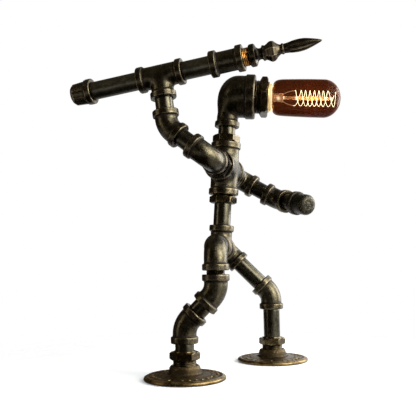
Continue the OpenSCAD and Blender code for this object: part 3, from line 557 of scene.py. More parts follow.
@dataclass(frozen=True)
class Patina:
    """Antique bronze-black finish on iron, rubbed through on the edges.

    Colour goes from the dark oxide to the paler patina with two sizes of mottling, to the rubbed
    metal where the wear stored at the points is high, and to grime in the hollows. Painted shade
    darkens what faces down, and small bright specks lie over the rest. The relief is sand-cast grain,
    shallow dents and scattered pits.
    """

    name: str
    slot: str
    oxide: Colour = (0.030, 0.025, 0.014)
    patina: Colour = (0.095, 0.085, 0.056)
    rubbed: Colour = (0.26, 0.20, 0.12)
    # the grime colour also serves as the painted shade on what faces down; the next field sets its strength
    grime: Colour = (0.008, 0.005, 0.003)
    underside_shade: float = 0.75
    roughness: float = 0.29
    wear: float = 0.40
    grain: float = 0.26
    grain_size: float = 1.3
    cloud_size: float = 26.0
    blotch_size: float = 5.5
    pit_size: float = 2.6
    speck_size: float = 1.9
    speck: float = 0.35

    def material(self) -> bpy.types.Material:
        """Builds the material."""
        s = Shader.new(self.name)
        cloud = s.noise(self.cloud_size, 3, 0.6)
        blotch = s.noise(self.blotch_size, 4, 0.62)
        grain = s.noise(self.grain_size, 3, 0.6)
        pits = s.cells(self.pit_size).ramped(0.0, 0.22)
        tone = (cloud * 0.55 + blotch * 0.6 - 0.08).ramped(0.28, 0.72)
        colour = s.mixed(tone, self.oxide, self.patina)
        # painted shade: what faces down is darkened towards the grime colour
        under = (s.facing_up * -1.0).ramped(-0.25, 0.85) * self.underside_shade
        colour = s.mixed(under, colour, self.grime)
        specks = s.noise(self.speck_size, 2, 0.6).ramped(0.56, 0.70) * self.speck * (1 - under)
        colour = s.mixed(specks, colour, self.rubbed)
        worn = s.attribute("wear") * 1.15 + (blotch - 0.5) * 0.9 + (grain - 0.5) * 0.35
        worn = worn.ramped(0.42, 0.95) * self.wear
        colour = s.mixed(worn, colour, self.rubbed)
        hollow = (s.attribute("grime") * 0.95 + (blotch - 0.5) * 0.5).ramped(0.25, 0.9) * 0.8
        dirt = hollow.most((1 - pits) * 0.5)
        colour = s.mixed(dirt, colour, self.grime)
        rough = self.roughness + (blotch - 0.5) * 0.22 + dirt * 0.25 - worn * 0.1
        height = grain * 0.55 + blotch * 0.9 + pits * 0.35 + cloud * 1.6
        return s.finish(Base_Color=colour, Metallic=1.0 - dirt * 0.2, Roughness=rough,
                        Normal=s.bump(height, self.grain))


@dataclass(frozen=True)
class Plain:
    """Finish with a fine grain and a soft mottling, for the small parts."""

    name: str
    slot: str
    light: Colour
    dark: Colour
    metallic: float = 0.0
    roughness: float = 0.4
    mottle: float = 3.0
    fineness: float = 0.12
    grain: float = 0.02
    coat: float = 0.0

    def material(self) -> bpy.types.Material:
        """Builds the material: two tones by noise, with roughness and relief from finer noise."""
        s = Shader.new(self.name)
        blotch = s.noise(self.mottle, 3, 0.6)
        fine = s.noise(self.mottle * self.fineness, 2, 0.5)
        colour = s.mixed(blotch.ramped(0.3, 0.7), self.dark, self.light)
        return s.finish(Base_Color=colour, Metallic=self.metallic, Coat_Weight=self.coat,
                        Roughness=self.roughness + (fine - 0.5) * 0.15,
                        Normal=s.bump(fine + blotch, self.grain))


@dataclass(frozen=True)
class Glass:
    """Blown glass, with a faint ripple and smears on it.

    Its tint deepens towards the sides that face up and down, where light has further to go through
    the wall, and a small share of the light scatters in it. The glow stands for light of the
    filament that is led along a rod: an ember where grime is stored at the points, a glint where
    wear is.
    """

    name: str
    slot: str
    tint: Colour
    deep: Colour
    through: float
    index: float
    shine: float
    ripple: float = 0.05
    glow: Colour = (0.0, 0.0, 0.0)
    ember: Colour = (0.0, 0.0, 0.0)
    glint: Colour = (0.0, 0.0, 0.0)

    def material(self) -> bpy.types.Material:
        """Builds the material: transmission through tinted walls."""
        s = Shader.new(self.name)
        ripple = s.noise(14, 2, 0.4)
        smear = s.noise(6, 4, 0.65).ramped(0.52, 0.8)
        up = s.facing_up
        shade = (up * up).ramped(0.15, 1.0)
        glow = s.mixed(s.attribute("grime").clamped(), self.glow, self.ember)
        glow = s.mixed((s.attribute("wear") + smear * 0.05).clamped(), glow, self.glint)
        return s.finish(Base_Color=s.mixed((shade + smear * 0.25).clamped(), self.tint, self.deep),
                        Emission_Color=glow, Emission_Strength=1.0,
                        Roughness=0.012 + smear * 0.02, Transmission_Weight=self.through, IOR=self.index,
                        Specular_IOR_Level=self.shine, Normal=s.bump(ripple, self.ripple))


@dataclass(frozen=True)
class Glow:
    """Glowing wire, brighter in some places than in others: the filament glows from heat, and the lead wires'
    glow is painted light.
    """

    name: str
    slot: str
    glow_colour: Colour
    strength: float
    dim_share: float = 0.7
    metal: Colour = (0.3, 0.2, 0.1)

    def material(self) -> bpy.types.Material:
        """Builds the material."""
        s = Shader.new(self.name)
        brighter = s.noise(5, 2, 0.5).ramped(0.2, 0.8)
        colour = s.mixed(brighter, tuple(c * self.dim_share for c in self.glow_colour), self.glow_colour)
        return s.finish(Base_Color=self.metal, Roughness=0.6, Emission_Color=colour,
                        Emission_Strength=self.strength)


@dataclass(frozen=True)
class Porcelain:
    """Glazed porcelain with crazing and brown stains."""

    name: str
    slot: str
    glaze: Colour = (0.80, 0.68, 0.42)
    stain: Colour = (0.50, 0.33, 0.15)
    crack: Colour = (0.25, 0.15, 0.07)
    crazing: float = 3.0

    def material(self) -> bpy.types.Material:
        """Builds the material."""
        s = Shader.new(self.name)
        stain = s.noise(7, 4, 0.6).ramped(0.45, 0.75)
        crack = s.cells(self.crazing).ramped(0.0, 0.08)
        colour = s.mixed(stain * 0.5, self.glaze, self.stain)
        colour = s.mixed((1 - crack) * 0.4, colour, self.crack)
        return s.finish(Base_Color=colour, Roughness=0.22 + stain * 0.15, Coat_Weight=0.5,
                        Normal=s.bump(s.noise(2.5, 2, 0.5), 0.06))


CAST = Patina("cast_iron", "iron")
# painted shade: a darker copy of the cast finish, for the head and the far elbow
SHADED_CAST = replace(CAST, name="cast_iron_painted_shade", oxide=(0.022, 0.018, 0.010), patina=(0.068, 0.060, 0.039))
HEX = Patina("worn_iron", "worn_iron", oxide=(0.021, 0.016, 0.007), patina=(0.092, 0.069, 0.034),
             rubbed=(0.30, 0.225, 0.12), wear=0.55, roughness=0.26, grain=0.12)
PIPE = Patina("pipe_steel", "pipe_steel", oxide=(0.044, 0.040, 0.027), patina=(0.105, 0.097, 0.068),
              roughness=0.24, grain=0.08, grain_size=0.8, wear=0.35, speck=0.2)
# painted shade: a darker copy of the pipe finish, for the far shin, the far upper arm and the far wrist
SHADED_PIPE = replace(PIPE, name="pipe_painted_shade", oxide=(0.028, 0.025, 0.017), patina=(0.072, 0.066, 0.046))
# painted light: a lighter and rougher copy of the pipe finish, for the spear's pipes
LIT_SPEAR_PIPE = replace(PIPE, name="spear_steel_painted_light", oxide=(0.062, 0.059, 0.042), patina=(0.150, 0.143, 0.104),
                     roughness=0.36, grain=0.14)
FLANGE = Patina("flange_iron", "flange_iron", oxide=(0.050, 0.034, 0.014), patina=(0.225, 0.150, 0.058),
                rubbed=(0.64, 0.475, 0.24), wear=1.0, roughness=0.36, grain=0.3)
POINT = Patina("point_iron", "iron", oxide=(0.026, 0.021, 0.013), patina=(0.078, 0.064, 0.041),
               rubbed=(0.26, 0.21, 0.13), roughness=0.25, grain=0.05, wear=0.4, speck=0.15)
FIST = Patina("rough_cast", "iron", oxide=(0.018, 0.016, 0.010), patina=(0.050, 0.047, 0.036),
              rubbed=(0.17, 0.15, 0.105), roughness=0.36, grain=0.75, grain_size=1.6, wear=0.3, speck=0.9)
# painted shade: a much darker copy of the hexagon finish, for the shoulder hexagons beside the chest cross
SHADED_HEX = Patina("hexagon_painted_shade", "worn_iron", oxide=(0.012, 0.010, 0.006), patina=(0.030, 0.025, 0.016),
               roughness=0.3, grain=0.12, wear=0.3)
# the copper gets less of the painted shade on what faces down
COPPER = Patina("aged_copper", "copper", oxide=(0.12, 0.045, 0.010), patina=(0.44, 0.175, 0.040),
                rubbed=(0.80, 0.42, 0.12), grime=(0.04, 0.013, 0.004), roughness=0.28, grain=0.05, wear=0.5,
                underside_shade=0.4)
BRASS = Plain("rolled_brass", "brass", (0.78, 0.58, 0.28), (0.52, 0.36, 0.15), metallic=1.0, roughness=0.28)
SCREW = Plain("plated_steel", "screw_steel", (0.70, 0.70, 0.68), (0.50, 0.50, 0.48), metallic=1.0,
              roughness=0.32)
CAP = Plain("cap_sheet", "cap_metal", (0.72, 0.69, 0.62), (0.50, 0.45, 0.36), metallic=1.0, roughness=0.30)
BLACK_GLASS = Plain("fused_glass", "black_glass", (0.05, 0.05, 0.055), (0.02, 0.02, 0.02),
                    roughness=0.15, coat=0.6)
SLEEVE = Plain("wire_sleeve", "wire_sleeve", (0.11, 0.09, 0.07), (0.06, 0.05, 0.04), roughness=0.5)
RUBBER = Plain("grommet_rubber", "rubber", (0.06, 0.06, 0.06), (0.03, 0.03, 0.03), roughness=0.65, grain=0.08)
AMBER = Glass("amber_glass", "amber_glass", tint=(0.228, 0.101, 0.047), deep=(0.142, 0.051, 0.020),
              through=0.97, index=1.10, shine=0.1)
# painted light: the mount's glow, its ember along the rod and its glint on the press stand for the filament's
# light
CLEAR = Glass("clear_glass", "clear_glass", tint=(0.93, 0.88, 0.78), deep=(0.90, 0.85, 0.75),
              through=0.75, index=1.45, shine=0.5, glow=(0.22, 0.26, 0.25), ember=(2.0, 1.3, 0.08),
              glint=(5.0, 9.0, 12.0))
# painted light: the lead and support wires glow though they are no lamp, standing for the filament's light on
# them
GLOWING_LEAD = Glow("lead_painted_glow", "lead_wire", glow_colour=(0.55, 0.85, 1.0), strength=2.2)
FILAMENT = Glow("hot_filament", "filament", glow_colour=(0.34, 0.74, 1.0), strength=62.0)
CERAMIC = Porcelain("glazed_porcelain", "ceramic")


# ---- pieces


@dataclass(frozen=True)
class Piece:
    """One piece before it is made.

    The node is the CAD node that it stands for. An edge past the sharp angle, in degrees, is shown
    sharp. Unseen names a switch of the object that keeps it from one kind of ray.
    """

    name: str
    node: str | None
    finish: Any
    patches: Sequence[Patch]
    sharp: float = 32.0
    unseen: str | None = None


class Bench:
    """Makes finished pieces from patches and keeps one material for each finish."""

    def __init__(self) -> None:
        """Starts with no materials."""
        self._materials: dict[str, bpy.types.Material] = {}

    def material(self, finish: Any) -> bpy.types.Material:
        """The material of a finish, built once."""
        if finish.name not in self._materials:
            self._materials[finish.name] = finish.material()
        return self._materials[finish.name]

    def make(self, piece: Piece, body: str) -> None:
        """Joins a piece's patches in one mesh, dresses it and hangs it on its body.

        Args:
            piece: the piece, with its patches in millimetres in the lamp's frame.
            body: the body that it moves with.
        """
        patches = piece.patches
        points = np.vstack([p.points.reshape(-1, 3) for p in patches]) * MM
        starts = np.cumsum([0] + [p.points.shape[0] * p.points.shape[1] for p in patches[:-1]])
        faces = np.vstack([p.faces() + start for p, start in zip(patches, starts)])
        mesh = bpy.data.meshes.new(piece.name)
        mesh.vertices.add(len(points))
        mesh.vertices.foreach_set("co", points.astype(np.float32).ravel())
        mesh.loops.add(faces.size)
        mesh.loops.foreach_set("vertex_index", faces.astype(np.int32).ravel())
        mesh.polygons.add(len(faces))
        mesh.polygons.foreach_set("loop_start", np.arange(0, faces.size, 4, dtype=np.int32))
        mesh.polygons.foreach_set("use_smooth", np.ones(len(faces), bool))
        for mark in ("wear", "grime"):
            values = np.concatenate([getattr(p, mark).ravel() for p in patches])
            mesh.attributes.new(mark, "FLOAT", "POINT").data.foreach_set("value", values.astype(np.float32))
        mesh.update(calc_edges=True)
        self._weld(mesh)
        mesh.set_sharp_from_angle(angle=math.radians(piece.sharp))
        mesh.materials.append(self.material(piece.finish))
        obj = bpy.data.objects.new(piece.name, mesh)
        bpy.context.scene.collection.objects.link(obj)
        if piece.unseen:
            setattr(obj, piece.unseen, False)
        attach(obj, body)
        if piece.node:
            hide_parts(piece.node)
        LOG.info("%s: %d faces on %s", piece.name, len(mesh.polygons), body)

    @staticmethod
    def _weld(mesh: bpy.types.Mesh) -> None:
        """Merges points that lie on each other, at poles and seams, and drops the empty faces."""
        work = bmesh.new()
        work.from_mesh(mesh)
        bmesh.ops.remove_doubles(work, verts=work.verts, dist=1e-6)
        bmesh.ops.dissolve_degenerate(work, edges=work.edges, dist=1e-7)
        work.to_mesh(mesh)
        work.free()

    def dress(self, node: str, finish: Any) -> None:
        """Gives a CAD node a finish in all of its material slots."""
        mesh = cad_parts[node].data
        if not mesh.materials:
            mesh.materials.append(None)
        for i in range(len(mesh.materials)):
            mesh.materials[i] = self.material(finish)
        LOG.info("%s: CAD node dressed", node)


# ---- fittings


@dataclass(frozen=True)
class Stock:
    """Sizes that all the half-inch fittings share."""

    pipe_r: float = 10.65
    bore_r: float = 8.05
    grip: float = 12.0
    body_r: float = 13.2
    band_r: float = 15.3
    band_w: float = 7.0
    edge: float = 1.15
    root: float = 1.8
    clear: float = 0.12
    elbow_reach: float = 27.5
    bend_reach: float = 20.0
    elbow_bend_r: float = 15.5
    bend_bend_r: float = 24.0
    thread_pitch: float = 1.8
    hex_h: float = 8.5
    hex_corners: float = 34.8
    ridge_w: float = 0.55
    leg_gap: float = 2.0

    @property
    def socket_r(self) -> float:
        """Radius of a socket for pipe."""
        return self.pipe_r + self.clear

    @property
    def wide_socket_r(self) -> float:
        """Radius of a socket for a bushing."""
        return self.body_r + self.clear


STOCK = Stock()


@dataclass(frozen=True)
class Mouth:
    """Banded mouth of a fitting, with its socket."""

    body: float = STOCK.body_r
    band: float = STOCK.band_r
    width: float = STOCK.band_w
    hole: float = STOCK.socket_r
    depth: float = STOCK.grip
    edge: float = STOCK.edge
    root: float = STOCK.root
    lip: float = 0.7

    def corners(self) -> list[Triple]:
        """Corners from the bottom of the socket, over the band, to the body, with the face at 0."""
        slope = 0.35 * (self.band - self.body)
        return [
            (self.depth, self.hole, 0.0), (self.lip, self.hole, 0.2), (0.0, self.hole + self.lip, 0.25),
            (0.0, self.band, self.edge), (self.width, self.band, self.edge),
            (self.width + slope, self.body, self.root),
        ]

    def sleeve(self, length: float) -> Outline:
        """Outline of a fitting with this mouth at both ends: outside, and back through the bore."""
        near, k = self.corners(), STOCK
        far = [(length - a, r, rounding) for a, r, rounding in reversed(near)]
        ends = (k.grip, k.bore_r, 0.0), (length - k.grip, k.bore_r, 0.0)
        return rounded_outline([ends[0], *near, *far, ends[1]])


def casting(parting: float = 0.20, wobble: float = 0.10, inside: float = 11.4, seed: float = 0.0) -> Shape:
    """Shape of a rough casting: a parting ridge on two sides and a slight waviness.

    The radius gains parting exp(-(distance from the line / the ridge's width)^2) and
    wobble (sin(2a + s / 9) + sin(3a - s / 6) / 2). Radii within the bore stay as they are, and the
    bands are handled more than the body.

    Args:
        parting: height of the ridge.
        wobble: depth of the waviness.
        inside: radius up to which nothing changes.
        seed: shift of the waviness from one fitting to the next.

    Returns:
        The shape function.
    """
    band_from, band_wear, ridge_wear = inside + 2.9, 0.42, 0.3

    def shape(along: Array, angles: Array, radius: Array) -> Pair:
        """Radius and extra wear at each point."""
        outer = rise(radius, inside, 1.0)
        off = (nearest_turn(angles, line) * radius / STOCK.ridge_w for line in (0.0, math.pi))
        ridge = sum(np.exp(-part**2) for part in off)
        wave = np.sin(2 * angles + along / 9 + seed) + 0.5 * np.sin(3 * angles - along / 6 + 2 * seed)
        worn = np.maximum(band_wear * (radius > band_from), ridge_wear * outer * ridge)
        return radius + outer * (parting * ridge + wobble * wave), worn
    return shape


def elbow(part: str, place: Place, angle: float, seed: float, finish: Patina = CAST) -> Piece:
    """Elbow with a banded socket at each end: one closed shell, back through the bore.

    Args:
        part: the joint, which the names of the piece and of its node start with.
        place: its centre, with one mouth to -X and the other at the angle from +X towards +Z.
        angle: 90 or 45 degrees.
        seed: shift of the casting's waviness.
        finish: its finish.

    Returns:
        The piece part_bend, for the node part_elbow, or for the part itself where it ends so.
    """
    k = STOCK
    reach, bend = (k.elbow_reach, k.elbow_bend_r) if angle > 60 else (k.bend_reach, k.bend_bend_r)
    path = BentPath(angle, reach, bend)
    shell = sweep(Mouth().sleeve(path.length), place, path, shape=casting(seed=seed))
    node = part if part.endswith("_elbow") else f"{part}_elbow"
    return Piece(f"{part}_bend", node, finish, [shell])


def pipe(name: str, node: str, place: Place, show: float, thread: float = 0.0,
         finish: Patina = PIPE) -> Piece:
    """Length of pipe between two fittings, that reaches a little way into both.

    Args:
        name: the piece's name.
        node: the CAD node that it stands for.
        place: the face of the first fitting, with +Z along the pipe.
        show: length in sight.
        thread: length of the thread that stays in sight at each end.
        finish: its finish.

    Returns:
        The piece, a closed shell.
    """
    k = STOCK
    depth, crest_wear, runout = 0.75, 0.9, 0.8
    into = k.grip - 0.5
    row_gap = 0.3 if thread else 1.5
    rows = np.linspace(-into, show + into, max(12, int((show + 2 * into) / row_gap)))
    outside = [(float(z), k.pipe_r, 0.0) for z in rows]
    outline = rounded_outline([(-into, k.bore_r, 0.0), *outside, (show + into, k.bore_r, 0.0)], step=3.0)

    def shape(along: Array, angles: Array, radius: Array) -> Pair:
        """Helical ridges near both ends: the depth times the distance from the crest line."""
        cut = fall(np.minimum(along, show - along), thread, runout) * (radius > k.bore_r + 1)
        tooth = helix(along, angles, k.thread_pitch)
        return radius - cut * depth * tooth, cut * (1 - tooth) * crest_wear
    return Piece(name, node, finish, [sweep(outline, place, sides=72, shape=shape)])


def helix(along: Array, angles: Array, pitch: float) -> Array:
    """Distance from a helical crest line, |2 frac(z / pitch - a / 2 pi) - 1|: 0 on it, 1 between."""
    return np.abs(2 * ((along / pitch - angles / FULL_TURN) % 1) - 1)


@dataclass(frozen=True)
class Cap:
    """Pipe cap with a banded mouth and a rounded end, and with grip ribs or without.

    The ribs start at rib_from. The taper is how much narrower the radius is at the end than behind
    the band.
    """

    length: float
    end_round: float
    ribs: int = 0
    rib_from: float = STOCK.band_w - 0.5
    rib_height: float = 1.15
    rib_wear: float = 1.2
    taper: float = 0.0

    def build(self, place: Place) -> list[Patch]:
        """A closed shell from the mouth's face at the place to the closed end along +Z."""
        k = STOCK
        corners = [(k.grip + 1, 0.0, 0.0), (k.grip + 1, k.socket_r, 0.0), *Mouth().corners()[1:]]
        corners += [(self.length - 0.001, k.body_r - self.taper, self.end_round), (self.length, 0.0, 0.0)]
        outline = rounded_outline(corners, closed=False, step=1.0)
        return [sweep(outline, place, sides=144, shape=self._ribbed)]

    def _ribbed(self, along: Array, angles: Array, radius: Array) -> Pair:
        """Ribs: a raised cosine cut to flat tops round the cap, fading out towards its end."""
        body = rise(along, self.rib_from, 1.0) * fall(along, self.length - self.end_round * 0.55, 2.0)
        body = body * (radius > STOCK.socket_r + 1)
        tooth = np.clip(np.cos(self.ribs * angles) * 2.2 - 0.6, 0, 1) if self.ribs else np.zeros_like(angles)
        return radius + self.rib_height * body * tooth, self.rib_wear * body * tooth


def leg_mouth(place: Place, reach: float, mouth: Mouth, seed: float) -> Patch:
    """Mouth on one leg of a tee or a cross, running back under the body.

    Args:
        place: the fitting's centre, with +Z along the leg.
        reach: centre to face.
        mouth: the mouth's sizes.
        seed: shift of the waviness.

    Returns:
        A closed ring-shaped shell.
    """
    end = mouth.width + 5.5
    corners = mouth.corners()[1:] + [(mouth.width + 3.2, mouth.body, 1.0), (end, mouth.body - 0.7, 0.0),
                                     (end, mouth.hole, 0.0)]
    turned = place.moved(z=reach).turned(Axis.X, 180)
    rough = casting(0.18, 0.06, inside=mouth.hole + 0.8, seed=seed)
    return sweep(rounded_outline(corners), turned, shape=rough)


@dataclass(frozen=True)
class Junction:
    """Body where the legs of a tee or a cross meet, with soft hollows between them.

    Along each direction d of a sphere, the surface is where f(t d) = 0, found by halving. f is the
    smooth minimum min(p, q) - h^3 blend / 6, with h = max(blend - |p - q|, 0) / blend, of the
    distances p and q to the two legs' round walls, cut off by planes at the legs' ends. The run and
    the branch are unit vectors, and through tells whether the branch goes both ways, as in a cross.
    A branch that doesn't starts at a stem's length from the centre.
    """

    body: float
    cut: float
    run: Array
    branch: Array
    through: bool
    blend: float
    stem: float = 5.0
    ridge: float = 0.2
    halvings: int = 32

    def _gap(self, points: Array) -> Array:
        """f, as above, cut off at the legs' ends."""
        run, branch, blend = self.run, self.branch, self.blend
        along_run, along_branch = points @ run, points @ branch
        held = along_branch if self.through else np.maximum(along_branch, self.stem)
        p = np.linalg.norm(points - along_run[..., None] * run, axis=-1) - self.body
        q = np.linalg.norm(points - held[..., None] * branch, axis=-1) - self.body
        h = np.maximum(blend - np.abs(p - q), 0) / blend
        f = np.minimum(p, q) - h**3 * blend / 6
        ends = np.maximum(np.abs(along_run), np.abs(along_branch) if self.through else along_branch)
        return np.maximum(f, ends - self.cut)

    def build(self, place: Place) -> Patch:
        """A closed surface round the place, with the poles across both legs and a parting ridge."""
        side = np.cross(self.run, self.branch)
        u, crowding, longitude = np.linspace(-1, 1, 121), 1.35, circle(240)
        latitude = math.pi / 2 * np.sign(u) * np.abs(u) ** crowding
        level = np.cos(longitude)[None, :, None] * self.run + np.sin(longitude)[None, :, None] * self.branch
        d = np.cos(latitude)[:, None, None] * level + np.sin(latitude)[:, None, None] * side
        low, high = np.full(d.shape[:2], 1.0), np.full(d.shape[:2], 3.0 * self.cut)
        for _ in range(self.halvings):
            middle = (low + high) / 2
            inside = self._gap(d * middle[..., None]) < 0
            low, high = np.where(inside, middle, low), np.where(inside, high, middle)
        points = d * low[..., None]
        far = np.maximum(np.abs(points @ self.run), np.abs(points @ self.branch))
        ridge = np.exp(-((points @ side) / STOCK.ridge_w) ** 2) * fall(far, self.cut - 0.3, 1.0)
        points = points + self.ridge * ridge[..., None] * d
        return Patch(place.world(points), self.ridge * ridge, np.zeros(ridge.shape))


def tee(place: Place, seed: float = 0.0) -> list[Patch]:
    """Tee with its run along X and its branch to +Z."""
    k = STOCK
    legs = [leg_mouth(place.turned(Axis.Y, turn), k.elbow_reach, Mouth(), seed + turn)
            for turn in (-90, 0, 90)]
    cut = k.elbow_reach - k.band_w - k.leg_gap
    return [Junction(k.body_r, cut, X_AXIS, Z_AXIS, False, 6.0).build(place), *legs]


def hexagon(place: Place, corners: float, height: float, bore: float, back: float = 1.0) -> Patch:
    """Hexagon with turned-off corners, standing on z = 0.

    The radius is the lesser of a chamfered cylinder's and of flat / cos(angle from the flat's middle).
    The grid has lines at the corners, at the ends of their small facets and between them.

    Args:
        place: the middle of its lower face.
        corners: width across the corners.
        height: its height.
        bore: radius of the hole through it.
        back: how much larger the lower chamfer is than the upper one.

    Returns:
        A closed ring.
    """
    flat = corners / 2 * math.cos(math.radians(30))
    top = corners / 2 - 0.28
    chamfer = 0.055 * corners
    rise_share, corner_wear, rim_wear = 0.55, 0.62, 0.42
    outline = rounded_outline([
        (0.0, bore, 0.3), (0.0, top - chamfer * back, 0.0), (chamfer * rise_share * back, top, 0.0),
        (height - chamfer * rise_share, top, 0.0), (height, top - chamfer, 0.0), (height, bore, 0.3),
    ], step=1.2, fade=0.7)
    facet = math.degrees(math.acos(min(1.0, flat / top)))
    side = np.array([-30, -facet, -26, -20, -13, -6.5, 0, 6.5, 13, 20, 26, facet])
    lines = np.radians((np.arange(6)[:, None] * 60 + 30 + side[None, :]).ravel())

    def shape(along: Array, angles: Array, radius: Array) -> Pair:
        """Cuts the ring to six flats; the wear lies on the corners and the chamfered edges."""
        off = (np.degrees(angles) % 60) - 30
        corner = rise(np.abs(off), 24, 5) * (radius > flat * 0.95)
        rim = fall(np.minimum(along, height - along), 1.2, 1.2) * (radius > flat * 0.9)
        worn = np.maximum(corner_wear * corner, rim_wear * rim)
        return np.minimum(radius, flat / np.cos(np.radians(off))), worn
    return sweep(outline, place, shape=shape, angles=lines)


def threaded(place: Place, radius: float, bore: float, low: float, high: float,
             pitch: float = STOCK.thread_pitch, depth: float = 0.5, worn: float = 0.35) -> Patch:
    """Rod with a helical thread from low to high along +Z, cut by the depth between its crests.

    Args:
        place: the rod's frame.
        radius: radius of the crests.
        bore: radius of the hole through it.
        low: where it starts.
        high: where it ends.
        pitch: rise of the thread in one turn.
        depth: depth of the thread.
        worn: wear on its crests; the rest is grime.

    Returns:
        A closed ring.
    """
    rows_a_turn, marked = 8, 0.9
    rows = np.linspace(low, high, max(8, int((high - low) / pitch * rows_a_turn)))
    outside = [(float(z), radius, 0.0) for z in rows]
    outline = rounded_outline([(low, bore, 0.0), *outside, (high, bore, 0.0)], step=5.0)

    def shape(along: Array, angles: Array, r: Array) -> Pair:
        """Tooth height by the distance from the crest line."""
        tooth, crest = helix(along, angles, pitch), r > bore + 0.5
        return r - depth * tooth * crest, (1 - tooth) * crest * worn
    made = sweep(outline, place, shape=shape)
    return replace(made, grime=np.full(made.grime.shape, marked - worn))


def bushing(place: Place, show: float, turn: float, collar: float = 0.0) -> list[Patch]:
    """Hexagon bushing: its hexagon stands on z = 0, its thread goes down.

    Args:
        place: the middle of the hexagon's lower face.
        show: length of thread in sight below it.
        turn: turn of the hexagon in degrees.
        collar: height of a round collar on the hexagon.

    Returns:
        The hexagon, the thread and the collar.
    """
    k = STOCK
    hole, foot, top = k.socket_r, k.hex_h - 1.5, k.hex_h + collar
    patches = [hexagon(place.turned(Axis.Z, turn), k.hex_corners, k.hex_h, hole),
               threaded(place, k.body_r, k.bore_r, -show - 4.0, 0.5)]
    if collar:
        outline = rounded_outline([(foot, hole, 0.0), (foot, hole + 1.8, 0.0), (top, hole + 1.6, 0.6),
                                   (top, hole, 0.2)], step=1.0)
        patches.append(sweep(outline, place, sides=72))
    return patches


# ---- the figure


